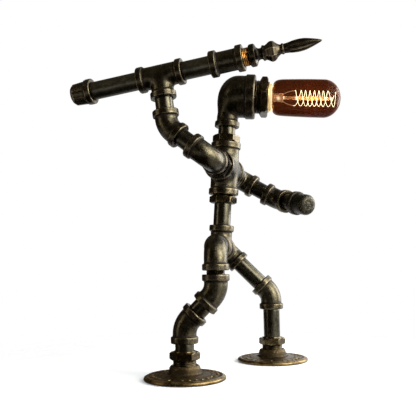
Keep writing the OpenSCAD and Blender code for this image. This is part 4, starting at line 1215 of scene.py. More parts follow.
@dataclass(frozen=True)
class Figure:
    """Lengths and angles that pose the figure, with the places that follow from them."""

    middle: float = 10.4604914
    hub_h: float = 15.5
    foot_thread: float = 6.0
    near_ankle_show: float = 9.2
    near_shin_show: float = 11.0
    near_thigh_show: float = 4.3
    far_thigh_show: float = 37.3
    hip_show: float = 12.5
    torso_show: float = 27.7
    chest_thread: float = 1.8
    collar_thread: float = 0.8
    cross_reach: float = 33.0
    neck_show: float = 10.5
    head_drop: float = 40.0
    shoulder_show: float = 6.5
    lean: float = 4.0
    chest_turn: float = 8.0
    knee: float = 45.0
    near_arm_rise: float = 34.0
    near_arm_show: float = 15.6
    near_forearm_show: float = 14.8
    far_arm_drop: float = 26.5
    far_arm_show: float = 17.0
    far_hand_turn: float = 14.0
    wrist_show: float = 15.5

    @property
    def foot_top(self) -> float:
        """Top of the hexagon above a foot."""
        return self.hub_h + self.foot_thread + STOCK.hex_h

    @property
    def near_ankle_h(self) -> float:
        """Height of the near ankle's centre."""
        return self.foot_top + self.near_ankle_show + STOCK.bend_reach

    @property
    def near_shin(self) -> float:
        """Length of the near shin between its elbows' centres."""
        return 2 * STOCK.bend_reach + self.near_shin_show

    @property
    def near_knee_h(self) -> float:
        """Height of the near knee's centre."""
        return self.near_ankle_h + self.near_shin * math.cos(math.radians(self.knee))

    @property
    def hip_h(self) -> float:
        """Height of the hip tee's centre."""
        return self.near_knee_h + STOCK.bend_reach + self.near_thigh_show + STOCK.elbow_reach

    @property
    def hip_out(self) -> float:
        """Distance of a hip elbow from the middle."""
        return 2 * STOCK.elbow_reach + self.hip_show

    @property
    def far_thigh(self) -> float:
        """Length of the far thigh between its elbows' centres."""
        return STOCK.elbow_reach + self.far_thigh_show + STOCK.bend_reach

    @property
    def far_knee_h(self) -> float:
        """Height of the far knee's centre."""
        return self.hip_h - self.far_thigh * math.cos(math.radians(self.knee))

    @property
    def waist_hex(self) -> float:
        """Foot of the hexagon under the chest, along the torso."""
        return STOCK.elbow_reach + self.torso_show

    @property
    def cross_z(self) -> float:
        """Centre of the chest cross along the torso."""
        return self.waist_hex + STOCK.hex_h + self.chest_thread + self.cross_reach

    @property
    def collar_hex(self) -> float:
        """Foot of the hexagon above the chest, along the torso."""
        return self.cross_z + self.cross_reach + self.collar_thread

    @property
    def neck_z(self) -> float:
        """Foot of the neck's pipe along the torso."""
        return self.collar_hex + STOCK.hex_h

    @property
    def shoulder_hex(self) -> float:
        """Foot of a shoulder's hexagon from the chest's centre."""
        return self.cross_reach + self.chest_thread

    @property
    def shoulder_out(self) -> float:
        """Distance of a shoulder elbow from the chest's centre."""
        return self.shoulder_hex + STOCK.hex_h + self.shoulder_show + STOCK.elbow_reach

    @property
    def near_arm_angle(self) -> float:
        """Angle of the near upper arm from +X towards +Z."""
        return 180 - self.near_arm_rise

    @property
    def near_forearm_angle(self) -> float:
        """Angle of the near forearm from +X towards +Z."""
        return self.near_arm_angle - self.knee

    def lamp(self) -> Place:
        """Under the hip tee's centre, on the table."""
        return Place().moved(x=self.middle)

    def near_foot(self) -> Place:
        """Under the near ankle."""
        return self.lamp().moved(-self.near_shin * math.sin(math.radians(self.knee)), -self.hip_out)

    def far_foot(self) -> Place:
        """Under the far ankle."""
        return self.lamp().moved(self.far_thigh * math.sin(math.radians(self.knee)), self.hip_out)

    def hip(self) -> Place:
        """Centre of the hip tee."""
        return self.lamp().moved(z=self.hip_h)

    def torso(self) -> Place:
        """Centre of the hip tee with +Z up the leaning torso."""
        return self.hip().turned(Axis.Y, self.lean)

    def chest(self) -> Place:
        """Centre of the chest cross, with Y across the shoulders."""
        return self.torso().moved(z=self.cross_z).turned(Axis.Z, -self.chest_turn)

    def head(self) -> Place:
        """Centre of the head, with +X out of its face."""
        return self.torso().moved(z=self.neck_z + self.neck_show + self.head_drop)

    def face(self) -> Place:
        """Centre of the head, with +Z out of its face."""
        return self.head().turned(Axis.Y, 90)

    def near_shoulder(self) -> Place:
        """Centre of the near shoulder elbow."""
        return self.chest().moved(y=-self.shoulder_out)

    def near_elbow(self) -> Place:
        """Centre of the near elbow."""
        length = STOCK.elbow_reach + self.near_arm_show + STOCK.bend_reach
        return self._along(self.near_shoulder(), self.near_arm_angle, length)

    def spear(self) -> Place:
        """Centre of the spear's tee, with +X to the point."""
        length = STOCK.bend_reach + self.near_forearm_show + STOCK.elbow_reach
        tee_place = self._along(self.near_elbow(), self.near_forearm_angle, length)
        return tee_place.turned(Axis.Y, -(self.near_forearm_angle - 90))

    def far_shoulder(self) -> Place:
        """Centre of the far shoulder elbow."""
        return self.chest().moved(y=self.shoulder_out)

    def far_elbow(self) -> Place:
        """Centre of the far elbow, with the upper arm coming in along +X."""
        length = STOCK.elbow_reach + self.far_arm_show + STOCK.bend_reach
        return (self.far_shoulder().turned(Axis.Y, self.far_arm_drop).moved(x=length)
                .turned(Axis.X, 90 - self.far_hand_turn))

    @staticmethod
    def _along(place: Place, angle: float, length: float) -> Place:
        """A place moved by a length at an angle in its XZ plane."""
        return place.moved(x=length * math.cos(math.radians(angle)), z=length * math.sin(math.radians(angle)))


# ---- assemblies


@dataclass
class Assembly:
    """Pieces that hang on one body, and the CAD nodes that only get a finish."""

    figure: Figure
    body: ClassVar[str] = "stand"
    dressed: ClassVar[dict[str, Any]] = {}

    def pieces(self) -> Iterator[Piece]:
        """The pieces, in the order in which they are made."""
        raise NotImplementedError

    def build(self, bench: Bench) -> None:
        """Makes the pieces and dresses the CAD nodes."""
        for piece in self.pieces():
            bench.make(piece, self.body)
        for node, finish in self.dressed.items():
            bench.dress(node, finish)


@dataclass
class Foot(Assembly):
    """Floor flange with its hub and its screw holes, and the bushing in it."""

    place: Place
    name: str
    hole_turn: float
    hex_turn: float
    outer_r: float = 46.0
    rim_h: float = 4.9
    root_h: float = 6.5
    hub_r: float = 17.2
    hole_circle: float = 34.0
    hole_r: float = 3.0
    hole_count: int = 4
    boss_count: int = 5
    boss_circle: float = 36.5
    boss_from: float = 22.0
    boss_span: float = 46.0
    boss_r: float = 1.7
    boss_round: float = 0.7
    boss_h: float = 1.0
    boss_wear: float = 1.2
    collar_h: float = 1.2

    def _ring(self) -> Patch:
        """The flange as a turned outline about +Z, without holes or bosses."""
        hub_h, outer_r, rim_h, hub_r = self.figure.hub_h, self.outer_r, self.rim_h, self.hub_r
        bore = STOCK.wide_socket_r
        return sweep(rounded_outline([
            (0.0, bore, 0.3), (0.0, outer_r - 0.9, 0.3), (1.0, outer_r, 1.2), (3.3, outer_r - 0.3, 2.0),
            (rim_h + 0.1, outer_r - 3.4, 3.0), (rim_h - 0.3, outer_r - 6.5, 3.0), (rim_h + 0.3, 30.0, 6.0),
            (self.root_h, hub_r + 1.0, 2.4), (hub_h - 2.4, hub_r + 0.1, 2.0), (hub_h, hub_r - 1.7, 1.8),
            (hub_h, bore + 0.9, 0.3), (hub_h - 0.9, bore, 0.2),
        ], step=0.75, fade=1.6), Place(), sides=300)

    def _bosses(self, points: Array, hole_angles: Array) -> Array:
        """Height of the round bosses between the screw holes, from 0 to 1, at each point."""
        after = self.boss_from + np.linspace(0, self.boss_span, self.boss_count)
        boss = np.zeros(points.shape[:2])
        for turn in (hole_angles[:, None] + np.radians(after)).ravel():
            spot = self.boss_circle * np.array([math.cos(turn), math.sin(turn)])
            far = np.linalg.norm(points[..., :2] - spot, axis=-1)
            boss = np.maximum(boss, fall(far, self.boss_r, self.boss_round))
        return boss * (points[..., 2] > 2.0) * (np.hypot(points[..., 0], points[..., 1]) < self.outer_r - 4.8)

    def plate(self) -> list[Patch]:
        """Flange: a turned outline whose grid opens round the screw holes.

        Points nearer to a hole than b = 2.4 a move out to a + d (b - a) / b, which leaves a round
        hole of radius a, and the wall of the hole is a ring of its own. The hub gets painted shade,
        darkest near the plate and lighter towards its top, and the rim's lower edge keeps little of its wear.

        Returns:
            The flange and the holes' walls.
        """
        ring = self._ring()
        points = ring.points.copy()
        height = ring.points[..., 2]
        angles = np.radians(self.hole_turn + np.arange(self.hole_count) * 360 / self.hole_count)
        centres = self.hole_circle * np.stack([np.cos(angles), np.sin(angles)], axis=-1)
        boss = self._bosses(points, angles)
        points[..., 2] += self.boss_h * boss
        drop = np.zeros(points.shape[:2], bool)
        reach = 2.4 * self.hole_r
        for centre in centres:
            away = points[..., :2] - centre
            far = np.linalg.norm(away, axis=-1)
            pushed = self.hole_r + far * (reach - self.hole_r) / reach
            factor = np.where(far < reach, pushed / np.maximum(far, 1e-6), 1.0)
            points[..., :2] = centre + away * factor[..., None]
            below = np.roll(points, -1, axis=0)
            middle = (points + np.roll(points, -1, axis=1) + below + np.roll(below, -1, axis=1)) / 4
            drop |= np.linalg.norm(middle[..., :2] - centre, axis=-1) < 0.9 * self.hole_r
        hub_foot, rim_top = self.root_h + 1.0, 3.6
        # painted shade on the hub, darkest near the plate and lighter towards its top, stored with the grime;
        # where it lies the hub keeps less of its wear
        hub = np.interp(height, (hub_foot, self.figure.hub_h), (0.95, 0.62)) * (height > hub_foot)
        kept = (1 - hub) * np.where(height < rim_top, 0.3, 1.0)
        placed = Patch(self.place.world(points), np.maximum(ring.wear * kept, self.boss_wear * boss),
                       np.maximum(ring.grime, hub), loop_rows=True, drop=drop)
        return [placed, *(self._hole_wall(centre) for centre in centres)]

    def _hole_wall(self, centre: Array) -> Patch:
        """Countersunk wall of one screw hole, from the top to the table."""
        wall, sink = self.hole_r + 0.05, self.hole_r + 0.9
        outline = rounded_outline([(self.rim_h + 0.05, sink, 0.1), (self.rim_h - 0.9, wall, 0.2),
                                   (0.05, wall, 0.0), (0.05, sink, 0.0)], step=1.0)
        return sweep(outline, self.place.moved(float(centre[0]), float(centre[1])), sides=40)

    def pieces(self) -> Iterator[Piece]:
        """The flange and the bushing."""
        f = self.figure
        yield Piece(f"{self.name}_flange", f"{self.name}_foot_flange", FLANGE, self.plate())
        at_hex = self.place.moved(z=f.hub_h + f.foot_thread)
        yield Piece(f"{self.name}_ankle_hex", f"{self.name}_ankle_bushing", HEX,
                    bushing(at_hex, f.foot_thread, self.hex_turn, self.collar_h))


@dataclass
class Legs(Assembly):
    """Both legs with the hips."""

    def pieces(self) -> Iterator[Piece]:
        """The near leg's elbows and pipes from the ankle up, the hip tee, and the far leg's down."""
        f, k = self.figure, STOCK
        near, far, hip = f.near_foot(), f.far_foot(), f.hip()
        ankle, knee = near.moved(z=f.near_ankle_h), f.lamp().moved(y=-f.hip_out, z=f.near_knee_h)
        yield pipe("near_ankle_stub", "near_ankle_pipe", near.moved(z=f.foot_top), f.near_ankle_show)
        yield elbow("near_ankle", ankle.turned(Axis.Y, -90).turned(Axis.X, 180), 45, 0.4)
        yield pipe("near_shin", "near_shin_pipe",
                   ankle.towards(f.knee).moved(z=k.bend_reach), f.near_shin_show)
        yield elbow("near_knee", knee.turned(Axis.Y, 90).turned(Axis.X, 180), 45, 1.7)
        yield pipe("near_thigh", "near_thigh_pipe", knee.moved(z=k.bend_reach), f.near_thigh_show, 3.0)
        yield elbow("near_hip", hip.moved(y=-f.hip_out).turned(Axis.Z, -90).turned(Axis.X, 180), 90, 2.9)
        yield pipe("near_hip_stub", "near_hip_pipe",
                   hip.turned(Axis.X, 90).moved(z=k.elbow_reach), f.hip_show)
        yield Piece("hip_junction", "hip_tee", CAST, tee(f.torso().turned(Axis.Z, 90), 0.8))
        yield pipe("far_hip_stub", "far_hip_pipe", hip.turned(Axis.X, -90).moved(z=k.elbow_reach), f.hip_show)
        back = hip.moved(y=f.hip_out).turned(Axis.Z, 90).turned(Axis.X, 180 - f.knee)
        yield elbow("far_hip", back, 90, 4.1)
        knee = far.moved(z=f.far_knee_h)
        yield pipe("far_thigh", "far_thigh_pipe",
                   knee.towards(180 - f.knee).moved(z=k.bend_reach), f.far_thigh_show)
        yield elbow("far_knee", knee.turned(Axis.Y, -90), 45, 5.2)
        far_shin_show = f.far_knee_h - k.bend_reach - f.foot_top
        yield pipe("far_shin", "far_shin_pipe", far.moved(z=f.foot_top), far_shin_show, finish=SHADED_PIPE)


@dataclass
class Torso(Assembly):
    """Torso pipe, chest cross with its four bushings, and the neck."""

    body_r: float = 16.8
    band_r: float = 18.5
    band_w: float = 7.5

    def pieces(self) -> Iterator[Piece]:
        """The torso's pieces from the hip up, and then both shoulders."""
        f, k = self.figure, STOCK
        torso, chest = f.torso(), f.chest()
        yield pipe("torso_tube", "torso_pipe", torso.moved(z=k.elbow_reach), f.torso_show)
        waist = torso.moved(z=f.waist_hex + k.hex_h).turned(Axis.X, 180)
        yield Piece("waist_hex", "waist_bushing", HEX, bushing(waist, f.chest_thread, -6))
        yield Piece("chest_junction", "chest_cross", CAST, self._cross(chest))
        yield Piece("collar_hex", "collar_bushing", HEX,
                    bushing(torso.moved(z=f.collar_hex), f.collar_thread, 6))
        yield pipe("neck", "neck_pipe", torso.moved(z=f.neck_z), f.neck_show)
        for side, name in ((-1, "near"), (1, "far")):
            arm = chest.turned(Axis.X, -90 * side).moved(z=f.shoulder_hex)
            yield Piece(f"{name}_shoulder_hex", f"{name}_shoulder_bushing", SHADED_HEX,
                        bushing(arm, f.chest_thread, 0))
            yield pipe(f"{name}_shoulder_stub", f"{name}_shoulder_pipe",
                       arm.moved(z=k.hex_h), f.shoulder_show, 2.0)

    def _cross(self, chest: Place) -> list[Patch]:
        """Cross with its legs along Y and Z."""
        reach = self.figure.cross_reach
        mouth = Mouth(self.body_r, self.band_r, self.band_w, STOCK.wide_socket_r)
        legs = [leg_mouth(chest.turned(Axis.X, turn), reach, mouth, turn) for turn in (0, 90, 180, 270)]
        middle = Junction(self.body_r, reach - self.band_w - STOCK.leg_gap, Z_AXIS, Y_AXIS, True, 8.0)
        return [middle.build(chest), *legs]


@dataclass
class NearArm(Assembly):
    """Near shoulder, upper arm, elbow and forearm."""

    body: ClassVar[str] = "near_arm"

    def pieces(self) -> Iterator[Piece]:
        """The near arm's pieces from the shoulder out."""
        f, k = self.figure, STOCK
        shoulder, bend = f.near_shoulder(), f.near_elbow()
        up = shoulder.turned(Axis.Z, -90).turned(Axis.X, 90 - f.near_arm_rise)
        yield elbow("near_shoulder", up, 90, 0.2)
        yield pipe("near_upper_arm", "near_arm_pipe",
                   shoulder.towards(f.near_arm_angle).moved(z=k.elbow_reach), f.near_arm_show)
        yield elbow("near_elbow", bend.turned(Axis.Y, -f.near_arm_angle).turned(Axis.X, 180), 45, 3.3)
        yield pipe("near_forearm", "near_forearm_pipe",
                   bend.towards(f.near_forearm_angle).moved(z=k.bend_reach), f.near_forearm_show)


@dataclass
class Spear(Assembly):
    """Spear of pipe: a ribbed end cap, two lengths of pipe, a coupling and a turned point."""

    body: ClassVar[str] = "spear"
    rear_show: float = 58.5
    front_show: float = 33.0
    coupling_len: float = 39.0
    coupling_r: float = 12.5
    coupling_band_w: float = STOCK.band_w + 0.5
    copper_show: float = 6.0
    copper_in: float = 8.0
    point_len: float = 82.5
    butt: Cap = Cap(27.0, 4.5, ribs=8, taper=1.4)

    def pieces(self) -> Iterator[Piece]:
        """The tee, the rear end and then the front end out to the point."""
        k = STOCK
        spear = self.figure.spear()
        back, front = (spear.towards(angle).moved(z=k.elbow_reach) for angle in (180, 0))
        yield Piece("spear_junction", "spear_tee", CAST, tee(spear.turned(Axis.X, 180), 2.2))
        yield pipe("spear_rear", "spear_rear_pipe", back, self.rear_show, finish=LIT_SPEAR_PIPE)
        yield Piece("spear_butt", "spear_end_cap", CAST, self.butt.build(back.moved(z=self.rear_show)))
        yield pipe("spear_front", "spear_front_pipe", front, self.front_show, finish=LIT_SPEAR_PIPE)
        sleeve = front.moved(z=self.front_show)
        mouth = Mouth(body=self.coupling_r, width=self.coupling_band_w)
        yield Piece("spear_sleeve", "spear_coupling", CAST,
                    [sweep(mouth.sleeve(self.coupling_len), sleeve,
                           shape=casting(0.2, 0.08, seed=1.3))])
        copper = sleeve.moved(z=self.coupling_len)
        nipple = threaded(copper, k.pipe_r, k.bore_r, -self.copper_in, self.copper_show, depth=0.7, worn=0.9)
        yield Piece("copper_nipple", "spear_copper_pipe", COPPER, [nipple])
        yield Piece("turned_point", "spear_point", POINT, self._point(copper.moved(z=self.copper_show)))

    def _point(self, place: Place) -> list[Patch]:
        """Turned point: ring, neck, eight-sided vase, collar and fluted blade.

        The radius at z follows a smooth curve through the knots. On the vase it is cut towards
        eight flats, R (1 - f (1 - cos(pi/8) / cos(angle from the flat's middle))), and on the
        blade it sinks by a share g |cos(4 a)| between eight ridges.
        """
        ring = [(0.0, 9.4), (1.2, 11.6), (2.4, 12.75), (4.8, 12.9), (7.2, 12.7), (8.5, 11.0)]
        neck = [(9.5, 8.6), (11.0, 6.9), (13.0, 6.3), (14.5, 6.4), (15.6, 7.6), (16.6, 8.9), (17.6, 8.7)]
        vase = [(19.0, 8.6), (21.5, 9.7), (24.0, 11.4), (26.3, 12.3), (28.5, 12.0), (30.5, 10.4), (33.0, 7.6)]
        collar = [(35.4, 5.7), (37.0, 5.3), (37.8, 6.1), (39.4, 6.2), (40.2, 5.3)]
        blade = [(44.5, 5.9), (50.5, 7.0), (56.5, 7.4), (62.5, 7.0), (68.5, 5.6), (74.5, 3.7), (79.5, 1.9),
                 (82.0, 0.7), (82.5, 0.0)]
        z = np.linspace(0, self.point_len, 190)
        r = smooth_curve(np.array(ring + neck + vase + collar + blade), z)
        wear = self._bands(z, (4.8, 2.4, 0.25), (16.6, 0.8, 0.6), (26.3, 2.2, 0.6), (38.6, 1.0, 0.8))
        grime = self._bands(z, (12.0, 2.5, 1.0), (36.6, 0.9, 1.0), (40.6, 0.8, 1.0), (18.6, 0.9, 1.0))
        from_axis = [np.concatenate([[0.0], values]) for values in (z, r, wear, grime)]
        return [sweep(Outline(*from_axis, False), place, sides=128, shape=self._fluted)]

    @staticmethod
    def _fluted(along: Array, angles: Array, radius: Array) -> Pair:
        """Facets on the vase and flutes on the blade."""
        vase = rise(along, 17.5, 2.5) * fall(along, 34.5, 3.0)
        off = (np.degrees(angles) % 45) - 22.5
        facet = math.cos(math.pi / 8) / np.cos(np.radians(off))
        blade = rise(along, 42.0, 6.0) * fall(along, 80.0, 10.0)
        ridge = np.abs(np.cos(4 * angles))
        edge = rise(np.abs(off), 17, 5)
        worn = np.maximum(vase * edge * 0.9, blade * ridge**4 * 0.8)
        return radius * (1 - vase * (1 - facet)) * (1 - 0.16 * blade * (1 - ridge)), worn

    @staticmethod
    def _bands(z: Array, *bands: Triple) -> Array:
        """Sum of soft bands (middle, width, amount): amount exp(-((z - middle) / width)^2)."""
        return sum(amount * np.exp(-((z - middle) / width) ** 2) for middle, width, amount in bands)


@dataclass
class FarArm(Assembly):
    """Far shoulder and upper arm."""

    body: ClassVar[str] = "far_arm"

    def pieces(self) -> Iterator[Piece]:
        """The elbow and the pipe."""
        f = self.figure
        shoulder = f.far_shoulder()
        down = shoulder.turned(Axis.Z, 90).turned(Axis.X, 90 + f.far_arm_drop)
        yield elbow("far_shoulder", down, 90, 1.1)
        arm = shoulder.towards(-f.far_arm_drop).moved(z=STOCK.elbow_reach)
        yield pipe("far_upper_arm", "far_arm_pipe", arm, f.far_arm_show, finish=SHADED_PIPE)


@dataclass
class FarHand(Assembly):
    """Far elbow, wrist and the fist."""

    body: ClassVar[str] = "far_hand"
    fist: Cap = Cap(29.0, 9.0)

    def pieces(self) -> Iterator[Piece]:
        """The far hand's pieces from the elbow out."""
        f = self.figure
        bend = f.far_elbow()
        hand = bend.towards(f.knee).moved(z=STOCK.bend_reach)
        yield elbow("far_elbow", bend, 45, 2.5, SHADED_CAST)
        yield pipe("far_wrist", "far_wrist_pipe", hand, f.wrist_show, finish=SHADED_PIPE)
        yield Piece("fist", "fist_cap", FIST, self.fist.build(hand.moved(z=f.wrist_show)))


@dataclass
class Head(Assembly):
    """Reducing elbow with the face bushing and the lamp holder."""

    body: ClassVar[str] = "head"
    dressed: ClassVar[dict[str, Any]] = {
        "holder_contact": BRASS, "terminal_screws": SCREW, "wire_splices": SCREW, "head_wires": SLEEVE,
        "supply_wires": SLEEVE, "cord_grommet": RUBBER}
    reach: float = 34.0
    body_r: float = 26.3
    band_r: float = 28.0
    band_w: float = 11.5
    crotch: float = 1.8
    socket: float = 8.0
    rounding: float = 2.4
    wall: float = 5.0
    ridge: float = 0.25
    ridge_w: float = 0.7
    thread_r: float = 21.0
    thread_pitch: float = 2.3
    hex_x: float = 39.0
    hex_h: float = 10.6
    hex_corners: float = 52.8
    hex_turn: float = 28.0
    hex_back: float = 2.0
    holder_r: float = 17.2
    holder_bore: float = 14.5
    holder_front: float = 54.6
    holder_floor: float = 27.0
    holder_back: float = 21.0
    shell_bore: float = 13.95

    def shell(self) -> Patch:
        """Head: circles that swing about the inner corner and grow on the way to the face.

        At a turn t from 0 at the neck to 90 at the face, the radius is
        r = r0 + (r1 - r0) smoothstep((t - 10) / 75), and the centre lies r + crotch from the corner.
        Below and in front of it follow the neck's and the face's straight, banded mouths, and the
        bore comes back inside, from the face to the neck, well within the walls.

        Returns:
            One closed shell.
        """
        k, drop = STOCK, self.figure.head_drop
        face = Mouth(self.body_r, self.band_r, self.band_w, self.thread_r + k.clear, self.socket,
                     self.rounding, self.rounding)
        neck_end, face_end = drop - self.body_r - self.crotch, self.reach - k.body_r - self.crotch
        small = rounded_outline([*Mouth().corners(), (neck_end, k.body_r, 0.0)], closed=False)
        wide = rounded_outline([*face.corners(), (face_end, self.body_r, 0.0)], closed=False)
        turn = np.radians(np.linspace(0, 90, 34)[1:-1])
        u = rise(np.degrees(turn), 10, 75)
        radius = k.body_r + (self.body_r - k.body_r) * (3 - 2 * u) * u * u
        corner = np.array([k.body_r + self.crotch, 0.0, -(self.body_r + self.crotch)])
        out = np.stack([-np.cos(turn), np.zeros_like(turn), np.sin(turn)], axis=-1)
        bend = corner + (radius + self.crotch)[:, None] * out
        inside = slice(None, None, -4)
        inner_count = len(out[inside])
        centres = np.vstack([(small.along - drop)[:, None] * Z_AXIS, bend,
                             (self.reach - wide.along)[::-1, None] * X_AXIS, bend[inside]])
        outs = np.vstack([np.tile(-X_AXIS, (len(small.along), 1)), out,
                          np.tile(Z_AXIS, (len(wide.along), 1)), out[inside]])
        inner = np.maximum(radius - self.wall, k.bore_r)[inside]
        radii = np.concatenate([small.radius, radius, wide.radius[::-1], inner])
        plain = np.zeros(len(turn))
        wear = np.concatenate([small.wear, plain, wide.wear[::-1], np.zeros(inner_count)])
        grime = np.concatenate([small.grime, plain, wide.grime[::-1], np.ones(inner_count)])
        angles = circle(144)
        line = sum(np.exp(-((nearest_turn(angles, t) * 20.0) / self.ridge_w) ** 2) for t in (0.0, math.pi))
        outer = rise(radii, k.socket_r + 1, 2) * (np.arange(len(radii)) < len(radii) - inner_count)
        ridge = self.ridge * outer[:, None] * line[None, :]
        points = rings(centres, outs, Y_AXIS, radii[:, None] + ridge, angles)
        return Patch(self.figure.head().world(points), np.maximum(wear[:, None], ridge),
                     np.tile(grime[:, None], (1, len(angles))), loop_rows=True)

    def pieces(self) -> Iterator[Piece]:
        """The head, the face hexagon and the holder."""
        face = self.figure.face()
        yield Piece("head_bend", "head_elbow", SHADED_CAST, [self.shell()])
        bore, front = self.holder_r + STOCK.clear, self.hex_x + self.hex_h
        yield Piece("face_hex", "face_bushing", HEX, [
            hexagon(face.moved(z=self.hex_x).turned(Axis.Z, self.hex_turn), self.hex_corners, self.hex_h,
                    bore, self.hex_back),
            threaded(face, self.thread_r, bore, self.reach - 10, self.hex_x + 0.5, self.thread_pitch, 1.0)])
        cup = rounded_outline([
            (self.holder_back, 0.0, 0.0), (self.holder_back, self.holder_r, 0.8),
            (self.holder_front, self.holder_r, 1.3), (self.holder_front, self.holder_bore, 0.9),
            (self.holder_floor, self.holder_bore, 0.5), (self.holder_floor, 0.0, 0.0)],
            closed=False, step=1.0)
        yield Piece("holder_cup", "holder_body", CERAMIC, [sweep(cup, face)])
        inner = bore - 0.3
        lip = rounded_outline([(front + 0.1, inner, 0.2), (front + 0.1, 19.4, 0.5), (front + 1.9, 19.0, 0.7),
                               (front + 2.2, inner, 0.3)], step=0.8)
        yield Piece("holder_ring", None, BRASS, [sweep(lip, face)])
        start, end, outer = self.holder_floor - 0.4, self.holder_front - 1.4, self.holder_bore - 0.1
        bore = self.shell_bore
        shell = rounded_outline([(start, bore, 0.0), (start, outer, 0.0), (end, outer, 0.25),
                                 (end, bore, 0.2)], step=0.45)
        yield Piece("holder_thread", "holder_shell", BRASS,
                    [sweep(shell, face, shape=self._rolled)])

    @staticmethod
    def _rolled(along: Array, angles: Array, radius: Array) -> Pair:
        """Rolled thread: a soft helical wave of the screw cap's pitch."""
        wave = np.cos(FULL_TURN * (along / CAP_PITCH) - angles)
        return radius - 0.22 * (1 + wave), 0.5 * (1 - wave)


@dataclass
class Bulb(Assembly):
    """Tubular bulb with a screw cap, a glass mount and a filament that coils out and back."""

    body: ClassVar[str] = "bulb"
    dressed: ClassVar[dict[str, Any]] = {"bulb_cap_insulator": BLACK_GLASS}
    base: float = 55.3
    length: float = 84.1
    radius: float = 23.65
    dome: float = 21.0
    neck_r: float = 11.3
    wall: float = 0.9
    cap_r: float = 13.2
    cap_h: float = 24.0
    cap_front: float = -0.3
    cap_bore: float = 11.45
    cap_thread: float = 0.85
    coil_r: float = 9.6
    coil_from: float = 27.9
    coil_to: float = 78.3
    coil_turns: float = 4.62
    coil_tilt: float = 0.15
    wire_r: float = 0.17
    lead_r: float = 0.4
    hook_r: float = 0.2
    arm_r: float = 0.12
    hook_z: float = 74.0

    def pieces(self) -> Iterator[Piece]:
        """The glass, the cap, the mount and the wires."""
        face = self.figure.face().moved(z=self.base)
        mounted = face.turned(Axis.Z, 90)
        yield Piece("glass_envelope", "bulb_glass", AMBER, [self._envelope(face)], 60, "visible_shadow")
        yield Piece("screw_cap", "bulb_cap", CAP, [self._cap(face)])
        yield Piece("glass_mount", "bulb_stem", CLEAR, self._mount(face), 60, "visible_shadow")
        yield Piece("support_wires", "bulb_leads", GLOWING_LEAD, self._leads(mounted))
        coil = [self._tube(mounted.world(line), self.wire_r, 8) for line in self._strands()]
        yield Piece("filament_coil", "bulb_filament", FILAMENT, coil, 80, "visible_diffuse")

    def _glass_line(self, inset: float) -> Array:
        """Points (z, r) of the glass from its neck in the cap to its tip, moved inwards by inset."""
        neck = [(-10.5, self.neck_r), (-4.0, self.neck_r), (-0.6, self.neck_r + 0.3)]
        flare = [(0.2, 15.1), (1.2, 18.4), (3.2, 20.5), (5.8, 21.8), (8.8, 22.4), (12.6, 22.75)]
        side = [(26.0, 23.2), (38.0, 23.5), (50.0, self.radius), (self.length, self.radius)]
        z = np.concatenate([np.linspace(-10.5, -4.5, 5), np.linspace(-4.0, 16.0, 60),
                            np.linspace(17, self.length - self.dome, 40)[:-1]])
        r = smooth_curve(np.array(neck + flare + side), z)
        across = 0.8 * inset
        turn = np.linspace(0, math.pi / 2, 34)
        dome_z = self.length - self.dome + (self.dome - inset) * np.sin(turn)
        dome_r = (self.radius - across) * np.cos(turn)
        shifted = np.stack([z + inset * fall(z, 16.0, 16.0) * (z > -4), r - across], axis=-1)
        return np.vstack([shifted, np.stack([dome_z, dome_r], axis=-1)])

    def _envelope(self, face: Place) -> Patch:
        """Glass of even thickness: out along the outside and back along the inside."""
        line = np.vstack([self._glass_line(0.0), self._glass_line(self.wall)[::-1]])
        line[:, 1] = np.maximum(line[:, 1], 0)
        return sweep(Outline.plain(line, closed=True), face, sides=128)

    def _cap(self, face: Place) -> Patch:
        """Screw cap with a rolled helical thread."""
        front, back, bore, wide = self.cap_front, self.cap_front - self.cap_h, self.cap_bore, self.cap_r - 0.2
        outline = rounded_outline([
            (back + 1.2, 8.0, 0.0), (back, 8.0, 0.2), (back, 9.4, 0.4), (back + 3.0, wide, 1.0),
            (front, wide, 0.3), (front, bore, 0.2), (front - 10.0, bore, 0.0),
            (back + 3.6, self.cap_r - 1.6, 0.6)], step=0.45)

        def rolled(along: Array, angles: Array, radius: Array) -> Pair:
            """Soft helical wave of the cap's pitch, left off near both ends."""
            wave = 0.5 - 0.5 * np.cos(FULL_TURN * (along / CAP_PITCH) - angles)
            part = rise(along, back + 3.0, 1.5) * fall(along, front - 3.0, 1.5) * (radius > bore + 0.8)
            return radius - self.cap_thread * wave * part, 0.6 * (1 - wave) * part
        return sweep(outline, face, shape=rolled)

    def _mount(self, face: Place) -> list[Patch]:
        """Glass mount: flare and tube, flattened press, rod and button."""
        tube = rounded_outline([
            (-9.5, 8.6, 0.0), (-9.5, 10.2, 0.3), (-5.0, 5.4, 3.0), (4.0, 5.0, 3.0), (9.0, 5.6, 2.0),
            (13.2, 5.7, 0.8), (13.9, 0.0, 0.0)], closed=False, step=0.7)
        inner = rounded_outline([(-9.5, 8.6, 0.0), (-5.6, 4.2, 2.0), (1.0, 3.6, 1.0), (3.0, 0.0, 0.0)],
                                closed=False, step=0.9)
        wall = Outline.plain(np.vstack([tube.line[::-1], inner.line]))
        press = sweep(wall, face, sides=64, shape=self._pressed)
        # painted highlight: a bright glint on the press, stored as wear so that the glass glows there
        glint = face.world(np.array([[1.5, -3.5, 7.5]]))[0]
        press = replace(press, wear=np.exp(-np.sum((press.points - glint) ** 2, axis=-1) / 5.0))
        rod = rounded_outline([
            (13.0, 0.0, 0.0), (13.0, 2.0, 0.4), (25.0, 2.0, 2.0), (30.0, 2.3, 2.0), (66.0, 2.3, 2.0),
            (71.8, 1.3, 0.5), (72.3, 1.9, 1.0), (74.6, 1.9, 1.2), (75.2, 0.0, 0.0)], closed=False, step=1.5)
        # painted glow along the rod where the coil lights it, stored as grime
        rod = replace(rod, grime=rise(rod.along, 26.0, 7.0) * fall(rod.along, 74.0, 6.0))
        return [press, sweep(rod, face, sides=24)]

